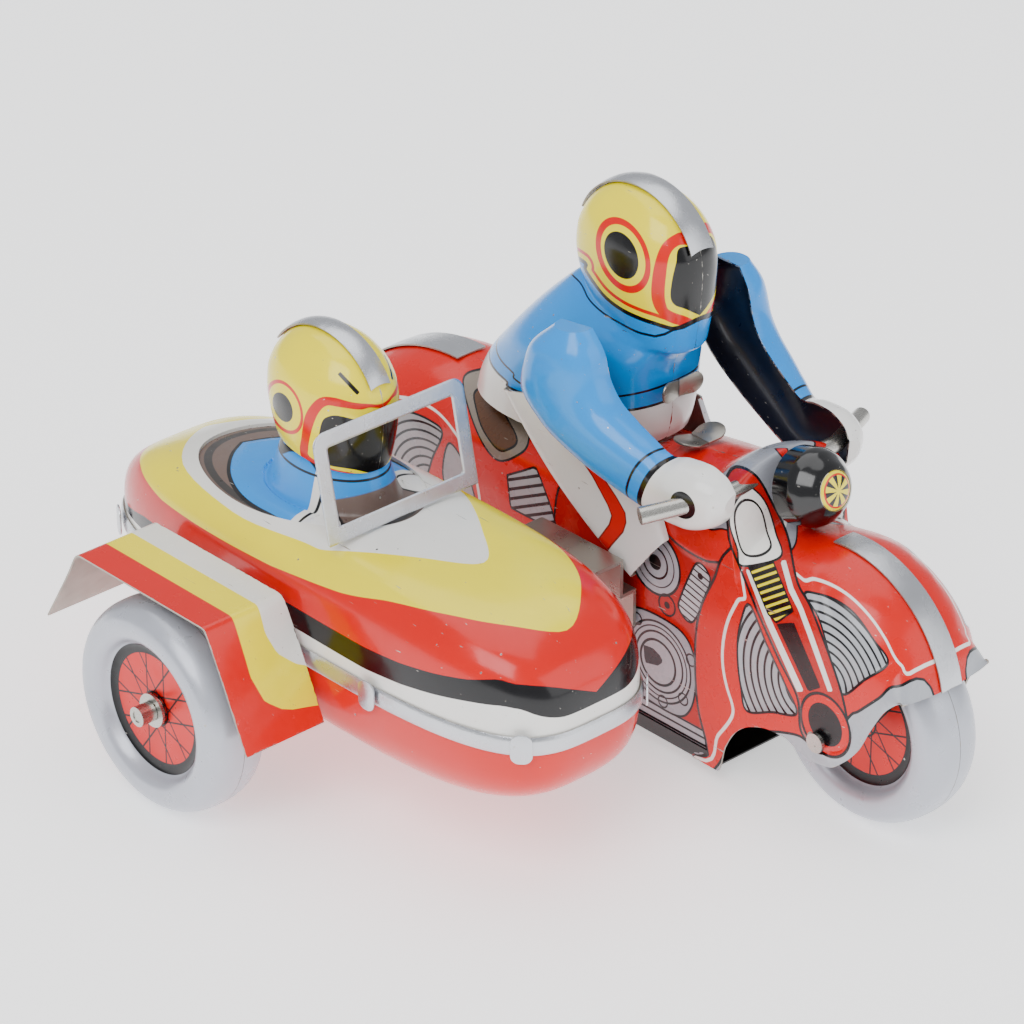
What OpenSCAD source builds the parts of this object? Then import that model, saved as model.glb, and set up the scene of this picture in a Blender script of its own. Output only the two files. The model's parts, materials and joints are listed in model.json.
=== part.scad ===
// Tin wind-up motorcycle with a sidecar, a rider and a passenger.
// Pressed tinplate shells held by tabs, three tin wheels and a spring motor that drives the rear one.
// Layout frame: X forward from the front axle, Y to the rider's left, Z up from the ground.
// in_frame() moves the layout so that the origin is at the bottom centre of the whole toy.

/* [Wheels] */
// Diameter of every wheel over the tread
wheel_d = 45; // [36:0.5:50]
// Width of every wheel over both pressed halves
wheel_w = 15; // [11:0.5:18]
// Diameter of the flat spoke disc inside the tyre
disc_d = 28.8; // [22:0.2:32]
// Thickness of the wheel tinplate
wheel_wall = 0.4; // [0.25:0.05:0.6]
// Diameter of the front and sidecar axles
axle_d = 2.4; // [1.6:0.1:3.2]
// Diameter of the driven rear axle
rear_axle_d = 3; // [2.4:0.1:3.6]

/* [Layout] */
// Distance between the front and rear axles
wheelbase = 124; // [118:1:136]
// Distance from the motorcycle's middle plane to the middle of the sidecar wheel
track = 100; // [99:1:112]
// How far the sidecar wheel stands behind the front axle
sidecar_wheel_back = 97; // [88:1:104]

/* [Motorcycle body] */
// Half of the width of the motorcycle body
body_half = 16; // [15.8:0.1:18]
// Thickness of the body tinplate
tin = 0.4; // [0.25:0.05:0.6]
// Height of the base plate's underside above the ground
base_z = 2.6; // [1.5:0.1:4]
// Height of the saddle line
saddle_z = 57; // [55:0.5:57.5]
// Radius of the front fender's crown
front_fender_r = 26.6; // [26.2:0.2:28]
// Radius of the rear fender's crown
rear_fender_r = 40; // [38:0.5:42]
// Width of the silver fender strips
strip_w = 8; // [5:0.5:10]
// Diameter of the headlamp
lamp_d = 16; // [12:0.5:16.5]
// Upward tilt of the headlamp, in degrees
lamp_tilt = 15; // [8:1:16]
// Diameter of the headlamp lens
lens_d = 8.4; // [6:0.2:9]
// Diameter of the handlebar rod
bar_d = 3.6; // [2.6:0.1:4.4]
// Half of the handlebar's width from end to end
bar_half = 31; // [29:0.5:34]

/* [Sidecar] */
// Distance from the motorcycle's middle plane to the sidecar's middle plane
boat_off = 58.5; // [58:0.5:60]
// Half of the sidecar's width at the rim
boat_half = 24; // [22:0.5:24.5]
// Length of the sidecar ahead of its widest station
boat_front = 61.5; // [56:0.5:66]
// Length of the sidecar behind its widest station
boat_rear = 72; // [68:0.5:74]
// Height of the rim above the ground
rim_z = 35; // [32:0.5:37]
// Height of the deck above the rim
deck_h = 23; // [21:0.5:26]
// Depth of the tub below the rim
tub_h = 21.5; // [18:0.5:24]
// Length of the cockpit opening
cockpit_l = 58; // [50:1:62]
// Width of the deck beside the cockpit opening
side_deck = 6.5; // [5:0.5:9]
// Height of the windshield frame
screen_h = 23; // [18:0.5:28]
// Width of the windshield frame
screen_w = 39; // [34:0.5:40]
// Width of the windshield frame's bars
screen_bar = 3.4; // [2.4:0.2:4]
// Lean of the windshield frame to the rear, in degrees
screen_lean = 12; // [4:1:20]

/* [Clockwork] */
// Gear module
gear_module = 0.7; // [0.66:0.01:0.71]
// Teeth of the great wheel
great_teeth = 54; // [52:1:54]
// Teeth of the second pinion
second_pinion_teeth = 12; // [11:1:12]
// Teeth of the second wheel
second_teeth = 54; // [52:1:54]
// Teeth of the pinion on the rear axle
axle_pinion_teeth = 18; // [18:1:20]
// Thickness of the gear wheels
gear_t = 1; // [0.8:0.1:1.2]
// Room for a gear between the rear wheel and a motor plate
gear_room = 4; // [3.8:0.1:4.4]
// Thickness of the motor plates
plate_t = 0.8; // [0.6:0.1:1]
// Width of the mainspring ribbon
spring_w = 11; // [7:0.5:11.5]
// Diameter of the winding arbor
arbor_d = 4; // [3.4:0.1:4.4]
// Width of the key's bow
key_w = 26; // [20:1:30]
// Length of the key from the body to the end of its bow
key_l = 24; // [21:1:30]

/* [Hidden] */

$fn = 48;
eps = 0.05;         // seam gap and play between fixed pieces
run = 0.05;         // radial running clearance of a shaft in its hole
wheel_r = wheel_d / 2;
axle_r = axle_d / 2;
rear_axle_r = rear_axle_d / 2;
arbor_r = arbor_d / 2;

// Places of the three axles in the layout
rear_x = -wheelbase;
side_x = -sidecar_wheel_back;
side_y = -track;
boat_y = -boat_off;
boat_x = -80;

// Front fender: crown circle of the seam, and the angles where it starts and ends
ff_x = -7;
ff_z = wheel_r + 8.5;
ff_start = 100;
ff_end = 12;
// Rear fender: crown circle of the seam
rf_x = rear_x + 3.5;
rf_z = saddle_z - rear_fender_r;
rf_start = 158;
rf_end = 80;

// Motor: the rear axle, the second arbor and the winding arbor
gear_play = 0.1;    // added to each centre distance
tip = 0.85;         // height of a tooth above the pitch circle, in modules
second_lift = 4;    // clearance of the second wheel above the base plate
great_lift = 2.5;   // clearance of the great wheel above the base plate
axle_distance = gear_module * (second_teeth + axle_pinion_teeth) / 2 + gear_play;
great_distance = gear_module * (great_teeth + second_pinion_teeth) / 2 + gear_play;
second_z = base_z + tin + gear_module * (second_teeth / 2 + tip) + second_lift;
second_x = rear_x + sqrt(pow(axle_distance, 2) - pow(second_z - wheel_r, 2));
great_z = base_z + tin + gear_module * (great_teeth / 2 + tip) + great_lift;
great_x = second_x + sqrt(pow(great_distance, 2) - pow(second_z - great_z, 2));
plate_in = wheel_w / 2 + gear_room;
great_y = -plate_in + 2.2;
second_y = plate_in - 2.2;
pillar_r = 1.6;
pillars = [[great_x + 20, base_z + 5], [great_x + 19, great_z + 18],
           [great_x - 11.5, great_z + 23], [great_x - 12, base_z + 3]];

// Outermost points of the whole toy, from which the frame's origin follows
crimp_out = side_y - wheel_w / 2 - 1.5;
front_x = wheel_r;
back_x = rf_x + rear_fender_r * cos(rf_start);
left_y = body_half + key_l;
mid_x = (front_x + back_x) / 2;
mid_y = (left_y + crimp_out) / 2;

module in_frame() {
    translate([-mid_x, -mid_y, 0]) children();
}

// A cylinder along Y from y0 to y1
module rod_y(r, y0, y1) {
    translate([0, y0, 0]) rotate([-90, 0, 0]) cylinder(r = r, h = y1 - y0);
}

// A flat outline in the XZ plane, thick from y0 to y1
module plate_y(y0, y1) {
    translate([0, y1, 0]) rotate([90, 0, 0]) linear_extrude(y1 - y0) children();
}

// ---- Pressed shells -------------------------------------------------------------------------
// A pressing is a row of ribs. A rib runs from point a to point b of the seam plane and bulges by
// depth out of it: rib = [a, b, depth, round]. A "dome" rib comes back to the plane at b. A
// "gutter" rib turns over the corner radius round and ends straight down at b.
dome_steps = 10;
gutter_steps = 6;

function along(a, b, s) = let (d = b - a) a + d * (s / max(norm(d), 0.001));

function dome_rib(rib, inset, power) =
    let (a = along(rib[0], rib[1], inset), b = along(rib[1], rib[0], inset), w = rib[2] - inset)
    [for (i = [0:dome_steps])
        let (t = 180 * i / dome_steps,
             c = cos(t),
             u = (1 - sign(c) * pow(abs(c), 2 / power)) / 2,
             h = i == 0 || i == dome_steps ? 0 : w * pow(sin(t), 2 / power))
        [a[0] + (b[0] - a[0]) * u, a[1] + (b[1] - a[1]) * u, h]];

function gutter_rib(rib, inset) =
    let (a = along(rib[0], rib[1], inset), w = rib[2] - inset,
         r = min(rib[3], 0.75 * norm(rib[1] - rib[0])) - inset)
    concat([for (i = [0:gutter_steps])
        let (t = 90 * i / gutter_steps, p = along(a, rib[1], r * (1 - cos(t))))
        [p[0], p[1], w * sin(t)]],
        [[rib[1][0], rib[1][1], w]]);

function shifted(points, by) = [for (p = points) [p[0] + by[0], p[1] + by[1], p[2]]];

// Inward step along the row of ribs for a closed end
function end_step(ribs, i, j, wall) =
    let (d = (ribs[j][0] + ribs[j][1] - ribs[i][0] - ribs[i][1]) / 2) d * (wall / max(norm(d), 0.001));

// Solid sheet between an outer and an inner grid of points. The ends are open rims or closed caps.
module sheet_between(outer, inner, cap_start, cap_end) {
    n = len(outer);
    m = len(outer[0]);
    half = n * m;
    function at(i, j) = i * m + j;
    skin = [for (i = [0:n - 2], j = [0:m - 2])
        each [[at(i, j), at(i + 1, j), at(i + 1, j + 1)], [at(i, j), at(i + 1, j + 1), at(i, j + 1)]]];
    lining = [for (f = skin) [half + f[2], half + f[1], half + f[0]]];
    seam_a = [for (i = [0:n - 2])
        each [[at(i, 0), half + at(i, 0), half + at(i + 1, 0)],
              [at(i, 0), half + at(i + 1, 0), at(i + 1, 0)]]];
    seam_b = [for (i = [0:n - 2])
        each [[at(i, m - 1), at(i + 1, m - 1), half + at(i + 1, m - 1)],
              [at(i, m - 1), half + at(i + 1, m - 1), half + at(i, m - 1)]]];
    rim_start = [for (j = [0:m - 2])
        each [[at(0, j), at(0, j + 1), half + at(0, j + 1)],
              [at(0, j), half + at(0, j + 1), half + at(0, j)]]];
    rim_end = [for (j = [0:m - 2])
        each [[at(n - 1, j), half + at(n - 1, j), half + at(n - 1, j + 1)],
              [at(n - 1, j), half + at(n - 1, j + 1), at(n - 1, j + 1)]]];
    lid_start = concat([for (j = [1:m - 2]) [at(0, 0), at(0, j), at(0, j + 1)]],
        [for (j = [1:m - 2]) [half + at(0, 0), half + at(0, j + 1), half + at(0, j)]],
        [[at(0, 0), at(0, m - 1), half + at(0, m - 1)], [at(0, 0), half + at(0, m - 1), half + at(0, 0)]]);
    lid_end = concat([for (j = [1:m - 2]) [at(n - 1, 0), at(n - 1, j + 1), at(n - 1, j)]],
        [for (j = [1:m - 2]) [half + at(n - 1, 0), half + at(n - 1, j), half + at(n - 1, j + 1)]],
        [[at(n - 1, 0), half + at(n - 1, 0), half + at(n - 1, m - 1)],
         [at(n - 1, 0), half + at(n - 1, m - 1), at(n - 1, m - 1)]]);
    polyhedron(points = concat([for (row = outer) each row], [for (row = inner) each row]),
        faces = concat(skin, lining, seam_a, seam_b, cap_start ? lid_start : rim_start,
                       cap_end ? lid_end : rim_end));
}

module dome_shell(ribs, wall, power = 2, cap_start = true, cap_end = true) {
    last = len(ribs) - 1;
    outer = [for (r = ribs) dome_rib(r, 0, power)];
    inner = [for (i = [0:last])
        shifted(dome_rib(ribs[i], wall, power),
            i == 0 && cap_start ? end_step(ribs, 0, 1, wall)
            : i == last && cap_end ? end_step(ribs, last, last - 1, wall) : [0, 0])];
    sheet_between(outer, inner, cap_start, cap_end);
}

module gutter_shell(ribs, wall) {
    sheet_between([for (r = ribs) gutter_rib(r, 0)], [for (r = ribs) gutter_rib(r, wall)], false, false);
}

// Turns a pressing so that its seam plane is the XZ plane and it bulges to the right (-Y)
module to_right() {
    translate([0, -eps, 0]) rotate([90, 0, 0]) children();
}

module to_left() {
    mirror([0, 1, 0]) to_right() children();
}

// ---- Motorcycle body --------------------------------------------------------------------------
function on_circle(c, r, t) = [c[0] + r * cos(t), c[1] + r * sin(t)];

// Lower edge of the rear fender, from the tail round the axle to the engine block
rear_edge = [[-26, 26.5], [-20, 21.5], [-15, 18.5], [-10, 16.5], [-5.5, 15], [-1, 14.5], [3.5, 15],
    [9, 15.5]];
// Lower edge of the front fender, from the fork round the axle to the tip
front_edge = [[-10, 18.8], [-6, 17.5], [-2, 16.6], [2, 17], [5.5, 19.5], [8.8, 23.5], [11.3, 29],
    [14, 34], [17, 37]];
fender_round = 13;
// The front fender's tip is this much narrower on each side than the body
tip_taper = 4;
engine_back = rear_x + 26;
engine_front = -28;
nacelle_top = saddle_z + 13;

function rear_ribs() = [for (i = [0:7])
    [on_circle([rf_x, rf_z], rear_fender_r, rf_start + (rf_end - rf_start) * i / 7),
     [rear_x + rear_edge[i][0], rear_edge[i][1]], body_half, fender_round]];

function middle_ribs() = [
    [[rear_x + 18, saddle_z], [engine_back - 4, 8], body_half, 10],
    [[rear_x + 24, saddle_z + 0.3], [engine_back, base_z], body_half, 9],
    [[-64, saddle_z + 1.2], [-64, base_z], body_half, 9],
    [[-56, saddle_z + 4.2], [-52, base_z], body_half, 10],
    [[-38.8, saddle_z + 7.2], [-34, base_z], body_half, 10],
    [[-34, saddle_z + 11], [engine_front, base_z], body_half, 9],
    [[-28, nacelle_top], [-26, 9], body_half, 8],
    [[-26, saddle_z + 6], [-23, 14], body_half, 8],
    [[-25, saddle_z - 1], [-19, 17], body_half, 10],
    [[-19.5, saddle_z - 1], [-14, 18.6], body_half, fender_round]];

function front_ribs() = [for (i = [0:8])
    [on_circle([ff_x, ff_z], front_fender_r, ff_start + (ff_end - ff_start) * i / 8),
     front_edge[i], body_half - tip_taper * pow(i / 8, 2), fender_round]];

bar_x = -28.4;
bar_z = saddle_z + 8.5;
bar_end_x = -36;
bar_end_z = bar_z - 2;
bar_bend_y = body_half - 0.2;

module body_half_shell() {
    gutter_shell(concat(rear_ribs(), middle_ribs(), front_ribs()), tin);
}

module bar_and_axle_holes() {
    translate([bar_x, 0, bar_z]) rod_y(bar_d / 2 + run, -body_half - 4, body_half + 4);
    translate([0, 0, wheel_r]) rod_y(axle_r + eps, -body_half - 4, body_half + 4);
}

module body_right_shell() {
    color("red") in_frame() difference() {
        to_right() body_half_shell();
        bar_and_axle_holes();
    }
}

module body_left_shell() {
    color("red") in_frame() difference() {
        to_left() body_half_shell();
        bar_and_axle_holes();
        translate([great_x, 0, great_z]) rod_y(arbor_r + 0.6, 0, body_half + 4);
    }
}

module base_plate() {
    w = body_half - tin - eps;
    color("black") in_frame() union() {
        translate([engine_back + 1, -w, base_z]) cube([engine_front - engine_back - 2, 2 * w, tin]);
        for (side = [-1, 1])
            translate([engine_back + 1, side > 0 ? w - tin : -w, base_z])
                cube([engine_front - engine_back - 3, tin, 3]);
    }
}

// A strip bent over a fender's crown
module crown_strip(cx, cz, r, start, finish) {
    translate([cx, 0, cz]) rotate([90, 0, 0]) rotate([0, 0, finish])
        rotate_extrude(angle = start - finish, $fn = 96)
            translate([r + eps, -strip_w / 2]) square([tin, strip_w]);
}

module front_fender_strip() {
    color("silver") in_frame() crown_strip(ff_x, ff_z, front_fender_r, 98, ff_end);
}

module rear_fender_strip() {
    color("silver") in_frame() crown_strip(rf_x, rf_z, rear_fender_r, 136, 88);
}

module tank_clip() {
    top = saddle_z + 6.4;
    color("gray") in_frame() translate([-54.5, 0, top]) rotate([90, 0, 90]) linear_extrude(7)
        polygon([[-1.5, -0.3], [1.5, -0.3], [6.2, 1.2], [6, 1.8], [1.4, 0.3], [-1.4, 0.3], [-6, 1.8],
                 [-6.2, 1.2]]);
}

lamp_r = lamp_d / 2;
lamp_x = -22.5;
lamp_z = saddle_z - 0.6 + lamp_r;
lamp_len = 9.5;

// The lamp's own frame: Z out of the lens
module at_lamp() {
    translate([lamp_x, 0, lamp_z]) rotate([0, 90 - lamp_tilt, 0]) children();
}

module headlamp_shell() {
    r = lamp_r;
    lens_r = lens_d / 2;
    color("black") in_frame() at_lamp() rotate_extrude($fn = 64) polygon([
            [r - tin, 0], [r, 0], [r, 4], [r - 0.5, 5.8], [r - 1.6, 7.4], [lens_r + 1, 8.8],
            [lens_r, lamp_len], [lens_r - 0.1, lamp_len - tin], [lens_r + 0.8, 8.4], [r - 2, 7.1],
            [r - 0.9, 5.6], [r - tin, 3.9]]);
}

module headlamp_lens() {
    lens_r = lens_d / 2;
    color("yellow") in_frame() at_lamp() translate([0, 0, lamp_len - tin]) rotate_extrude($fn = 48)
            polygon([[0, -0.3], [lens_r - 0.2, -0.3], [lens_r - 0.2, 0.4], [lens_r * 0.6, 1], [0, 1.3]]);
}

module handlebar() {
    r = bar_d / 2;
    run_out = [bar_end_x - bar_x, bar_half - bar_bend_y, bar_end_z - bar_z];
    color("silver") in_frame() translate([bar_x, 0, bar_z]) union() {
        rod_y(r, -bar_bend_y, bar_bend_y);
        for (side = [-1, 1]) {
            translate([0, side * bar_bend_y, 0]) sphere(r = r, $fn = 32);
            translate([0, side * bar_bend_y, 0])
                rotate([0, acos(run_out[2] / norm(run_out)), atan2(side * run_out[1], run_out[0])])
                    cylinder(r = r, h = norm(run_out));
        }
    }
}

module front_axle() {
    color("silver") in_frame() translate([0, 0, wheel_r]) union() {
        rod_y(axle_r, -body_half - 1.6, body_half + 1.6);
        rod_y(axle_r + 0.9, -body_half - 1.7, -body_half - 0.9);
        rod_y(axle_r + 0.9, body_half + 0.9, body_half + 1.7);
    }
}

// ---- Wheels -------------------------------------------------------------------------------------
tyre_mid_r = wheel_r - 4.5;
disc_r = disc_d / 2;
disc_y = wheel_w * 0.27;
hub_r = 2.6;

// Outline of one pressed half in the [radius, width] plane: spoke disc, step, and half of the tyre
function tyre_line(inset) =
    let (ra = wheel_r - tyre_mid_r - inset, wa = wheel_w / 2 - inset,
         stop = 180 - acos(min(0.98, (tyre_mid_r - disc_r) / ra)))
    [for (i = [0:12]) let (t = stop * i / 12) [tyre_mid_r + ra * cos(t), eps + wa * sin(t)]];

module wheel_half() {
    bore = hub_r + eps;
    outer = concat([[bore, disc_y]], [[disc_r - 0.8, disc_y]], [for (i = [0:12]) tyre_line(0)[12 - i]]);
    inner = concat(tyre_line(wheel_wall), [[disc_r - 0.8, disc_y - wheel_wall], [bore, disc_y - wheel_wall]]);
    rotate([-90, 0, 0]) rotate_extrude($fn = 96) polygon(concat(outer, inner));
}

module hub_sleeve(bore_r) {
    rotate([90, 0, 0]) difference() {
        cylinder(r = hub_r, h = 2 * disc_y + 1, center = true);
        cylinder(r = bore_r, h = wheel_w, center = true);
    }
}

module front_wheel_right_half() {
    color("lightgray") in_frame() translate([0, 0, wheel_r]) mirror([0, 1, 0]) wheel_half();
}

module front_wheel_left_half() {
    color("lightgray") in_frame() translate([0, 0, wheel_r]) wheel_half();
}

module front_hub_sleeve() {
    color("silver") in_frame() translate([0, 0, wheel_r]) hub_sleeve(axle_r + run);
}

module rear_axle() {
    color("silver") in_frame() translate([rear_x, 0, wheel_r])
        rod_y(rear_axle_r, -plate_in - plate_t - 1, plate_in + plate_t + 1);
}

module rear_wheel_right_half() {
    color("lightgray") in_frame() translate([rear_x, 0, wheel_r]) mirror([0, 1, 0]) wheel_half();
}

module rear_wheel_left_half() {
    color("lightgray") in_frame() translate([rear_x, 0, wheel_r]) wheel_half();
}

module rear_hub_sleeve() {
    color("silver") in_frame() translate([rear_x, 0, wheel_r]) hub_sleeve(rear_axle_r);
}

sleeve_out = side_y - disc_y - 0.5;

module sidecar_axle() {
    color("silver") in_frame() translate([side_x, 0, wheel_r])
        rod_y(axle_r, crimp_out + 0.2, boat_y + boat_half + 1.5);
}

module sidecar_wheel_outer_half() {
    color("lightgray") in_frame() translate([side_x, side_y, wheel_r]) mirror([0, 1, 0]) wheel_half();
}

module sidecar_wheel_inner_half() {
    color("lightgray") in_frame() translate([side_x, side_y, wheel_r]) wheel_half();
}

module sidecar_hub_sleeve() {
    color("silver") in_frame() translate([side_x, side_y, wheel_r]) hub_sleeve(axle_r + run);
}

module ring_y(outer_r, inner_r, y0, y1) {
    difference() {
        rod_y(outer_r, y0, y1);
        rod_y(inner_r, y0 - 1, y1 + 1);
    }
}

module axle_washer() {
    color("silver") in_frame() translate([side_x, 0, wheel_r])
        ring_y(3.6, axle_r + eps, sleeve_out - 0.8, sleeve_out - 0.2);
}

module axle_crimp() {
    color("silver") in_frame() translate([side_x, 0, wheel_r])
        ring_y(axle_r + 0.9, axle_r, crimp_out, sleeve_out - 0.9);
}

// ---- Sidecar ------------------------------------------------------------------------------------
nose_power = 3.4;
stern_power = 2.8;
deck_power = 4;
tub_power = 3;
station_end = 86;

function blunt(u, p) = pow(max(0, 1 - pow(min(abs(u), 1), p)), 1 / p);
function boat_station(t) = boat_x + (t > 0 ? boat_front : boat_rear) * sin(t);
function rim_half(t) = boat_half * blunt(sin(t), t > 0 ? nose_power : stern_power);

// Rim outline, walked once round the boat, pushed outwards by grow
function rim_outline(grow) = [for (k = [0:55])
    let (t = k < 28 ? -90 + 180 * k / 28 : 90 - 180 * (k - 28) / 28,
         s = k < 28 ? -1 : 1,
         len = t > 0 ? boat_front : boat_rear)
    [boat_x + (len + grow) * sin(t),
     s * (boat_half + grow) * blunt(sin(t), t > 0 ? nose_power : stern_power)]];

module boat_shell(depth, power, shrink) {
    ribs = [for (i = [0:16])
        let (t = -station_end + 2 * station_end * i / 16,
             x = boat_station(t) - sign(t) * shrink * abs(sin(t)),
             h = rim_half(t) - shrink,
             rise = (depth - shrink) * blunt(sin(t), t > 0 ? nose_power : stern_power))
        [[x, h], [x, -h], rise]];
    dome_shell(ribs, tin, power);
}

module cockpit_outline(grow) {
    polygon([for (k = [0:47]) let (t = 7.5 * k)
        [cockpit_x + (cockpit_l / 2 + grow) * cos(t), (cockpit_w / 2 + grow) * sin(t)]]);
}

cockpit_x = -102;
cockpit_w = 2 * (boat_half - side_deck);
fender_top_z = rim_z + 12.5;
tab_l = 8;
fender_tab_x = [-113, -93];

module fender_tabs(grow) {
    for (x = fender_tab_x)
        translate([x - tab_l / 2 - grow, boat_y - boat_half - 2.2, fender_top_z - tin - grow])
            cube([tab_l + 2 * grow, 5, tin + 2 * grow]);
}

module sidecar_top_shell() {
    color("yellow") in_frame() difference() {
        translate([0, boat_y, rim_z + eps]) difference() {
            boat_shell(deck_h, deck_power, 0);
            translate([0, 0, deck_h / 2]) linear_extrude(deck_h) cockpit_outline(0);
        }
        fender_tabs(0.15);
    }
}

module sidecar_tub() {
    color("red") in_frame() difference() {
        translate([0, boat_y, rim_z - eps]) mirror([0, 0, 1]) boat_shell(tub_h, tub_power, 0);
        translate([side_x, 0, wheel_r]) rod_y(axle_r + eps, side_y, 0);
    }
}

band_h = 4;
band_gap = 0.3;
band_t = 0.5;

module rim_band() {
    color("silver") in_frame() translate([0, boat_y, rim_z - band_h / 2]) linear_extrude(band_h)
        difference() {
            polygon(rim_outline(band_gap + band_t));
            polygon(rim_outline(band_gap));
        }
}

clip_w = 4.5;
clip_angles = [-62, -18, 22, 68];

module rim_clips() {
    color("gray") in_frame() for (side = [-1, 1], t = clip_angles) {
        p = [boat_station(t), side * rim_half(t)];
        q = [boat_station(t + 1), side * rim_half(t + 1)];
        translate([p[0], boat_y + p[1], rim_z]) rotate([0, 0, atan2(q[1] - p[1], q[0] - p[0])])
            translate([0, side * (band_gap + band_t + 0.75), 0]) cube([clip_w, 0.5, 6.5], center = true);
    }
}

// The passenger's shoulders and neck, pressed up out of the cockpit plate into the helmet's brim
shoulder_l = 17.5;
shoulder_h = 10.5;
neck_h = 13;
// Clearance between the neck and the helmet's brim
neck_room = 1.6;

module passenger_shoulders(inset) {
    brim = pass_l * (1 - brim_pinch * pow(sin(helmet_low), 2)) - tin - neck_room;
    translate([pass_x, 0, deck_h - 1.8]) scale([1, pass_w / pass_l, 1]) rotate_extrude($fn = 64)
        polygon([[0, -inset], [shoulder_l - inset, -inset], [brim - inset, shoulder_h],
                 [brim - inset, neck_h - inset], [0, neck_h - inset]]);
}

module cockpit_plate() {
    color("saddlebrown") in_frame() translate([0, boat_y, rim_z + eps]) difference() {
        union() {
            intersection() {
                boat_shell(deck_h, deck_power, 0.8);
                translate([0, 0, deck_h / 2]) linear_extrude(deck_h) cockpit_outline(2);
            }
            passenger_shoulders(0);
        }
        passenger_shoulders(tin);
    }
}

screen_x = -74.5;
screen_z = rim_z + deck_h + 0.4;

module windshield_frame() {
    corner = 3;
    half = screen_w / 2;
    color("silver") in_frame() translate([screen_x, boat_y, screen_z]) rotate([0, -screen_lean, 0])
        rotate([90, 0, 90]) linear_extrude(0.8) difference() {
            union() {
                translate([-half, 0]) square([screen_w, screen_h - corner]);
                translate([corner - half, 0]) square([screen_w - 2 * corner, screen_h]);
                for (side = [-1, 1])
                    translate([side * (half - corner), screen_h - corner]) circle(r = corner);
            }
            translate([screen_bar - half, screen_bar])
                square([screen_w - 2 * screen_bar, screen_h - 2 * screen_bar]);
        }
}

// The folded fender over the sidecar wheel: rear slope, flat top and front slope in one sheet
fender_in = boat_y - boat_half - 1.6;
fender_out = side_y - 4;

module sidecar_fender() {
    top = fender_top_z;
    outer = [[-132, 29], [-121, top], [-81, top], [-69, 23.5]];
    inner = [[-69.5, 23.3], [-81.3, top - tin], [-120.7, top - tin], [-131.6, 28.8]];
    color("orange") in_frame() union() {
        plate_y(fender_out, fender_in) polygon(concat(outer, inner));
        fender_tabs(0);
    }
}

// Bracket between the motorcycle and the sidecar: a strip that steps down under the trouser leg
module sidecar_bracket() {
    near = -body_half - 2 * eps;
    step = -leg_in - 3.4;
    far = boat_y + 0.9875 * boat_half;
    t = 0.8;
    x0 = -76;
    w = 24;
    high = rim_z + 7;
    low = leg_ribs[4][1][1] - 4;
    color("gray") in_frame() translate([x0, 0, 0]) union() {
        translate([0, far, high]) cube([w, step - far, t]);
        translate([0, far, high - 0.1]) cube([w, t, 6]);
        translate([0, step - t, low]) cube([w, t, high - low + t]);
        translate([0, step - t, low]) cube([w, near - step + t, t]);
        translate([0, near - t, low - 8]) cube([w, t, 8 + t]);
    }
}

// ---- Passenger and rider ------------------------------------------------------------------------
// A helmet is a round dome rib by rib: half length, half width and height above its middle.
// Below its middle it stays wide, down to a brim that drops towards the front.
helmet_low = -62;
brim_pinch = 0.16;

function helmet_ribs(cx, cz, half_l, half_w, half_h, drop) = [for (i = [0:10])
    let (t = 84 + (helmet_low - 84) * i / 10, low = min(sin(t), 0),
         k = t > 0 ? cos(t) : 1 - brim_pinch * pow(low, 2),
         z = cz + half_h * sin(t))
    [[cx + half_l * k, z + drop * low], [cx - half_l * k, z - drop * low], half_w * k]];

pass_x = -95;
pass_z = rim_z + deck_h + 21;
pass_l = 15.6;
pass_w = 11;
pass_h = 13.8;

module passenger_half() {
    dome_shell(helmet_ribs(pass_x, pass_z, pass_l, pass_w, pass_h, 2), tin, 2.2, true, false);
}

module passenger_head_right() {
    color("yellow") in_frame() translate([0, boat_y, 0]) to_right() passenger_half();
}

module passenger_head_left() {
    color("yellow") in_frame() translate([0, boat_y, 0]) to_left() passenger_half();
}

// A strip over a helmet's seam: a bent band with the helmet's own outline
module helmet_strip(cx, cz, half_l, half_h, width, start, finish) {
    line = [for (i = [0:14]) let (t = start + (finish - start) * i / 14)
        [cx + (half_l + 0.5) * cos(t), cz + (half_h + 0.5) * sin(t)]];
    back = [for (i = [0:14]) let (t = finish + (start - finish) * i / 14)
        [cx + (half_l + 1) * cos(t), cz + (half_h + 1) * sin(t)]];
    plate_y(-width / 2, width / 2) polygon(concat(line, back));
}

module passenger_helmet_strip() {
    color("silver") in_frame() translate([0, boat_y, 0])
        helmet_strip(pass_x, pass_z, pass_l, pass_h, 5, 25, 150);
}

rider_x = -67.8;
rider_z = saddle_z + 43.2;
rider_l = 17.4;
rider_w = 12;
rider_h = 14.8;

function rider_ribs() = concat(helmet_ribs(rider_x, rider_z, rider_l, rider_w, rider_h, 5.5), [
    [[-56, saddle_z + 24.5], [-83.5, saddle_z + 34], 10.5],
    [[-58, saddle_z + 22], [-91, saddle_z + 27], 14.5],
    [[-58.8, saddle_z + 18], [-99, saddle_z + 18], 17],
    [[-58.8, saddle_z + 12], [-105, saddle_z + 11], 17],
    [[-59.5, saddle_z + 6], [-108.5, saddle_z + 5], 16.6],
    [[-60.5, saddle_z + 3], [-109.6, saddle_z + 1.6], 16.4]]);

// Trouser leg: a shallow tray beside the body, from the jacket to the cuff
leg_in = body_half + 0.35;
leg_ribs = [
    [[-63, 74], [-90, 66], 2.2], [[-58, 70.5], [-85, 61], 2.4], [[-50.5, 63.5], [-76, 52.8], 2.6],
    [[-45, 55.5], [-63, 44], 2.6], [[-42.5, 50], [-52, 38], 2.2]];

module rider_half() {
    union() {
        to_right() dome_shell(rider_ribs(), tin, 2.4, true, false);
        translate([0, -leg_in, 0]) to_right() dome_shell(leg_ribs, tin, 5, false, false);
    }
}

module rider_right_shell() {
    color("deepskyblue") in_frame() rider_half();
}

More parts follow.
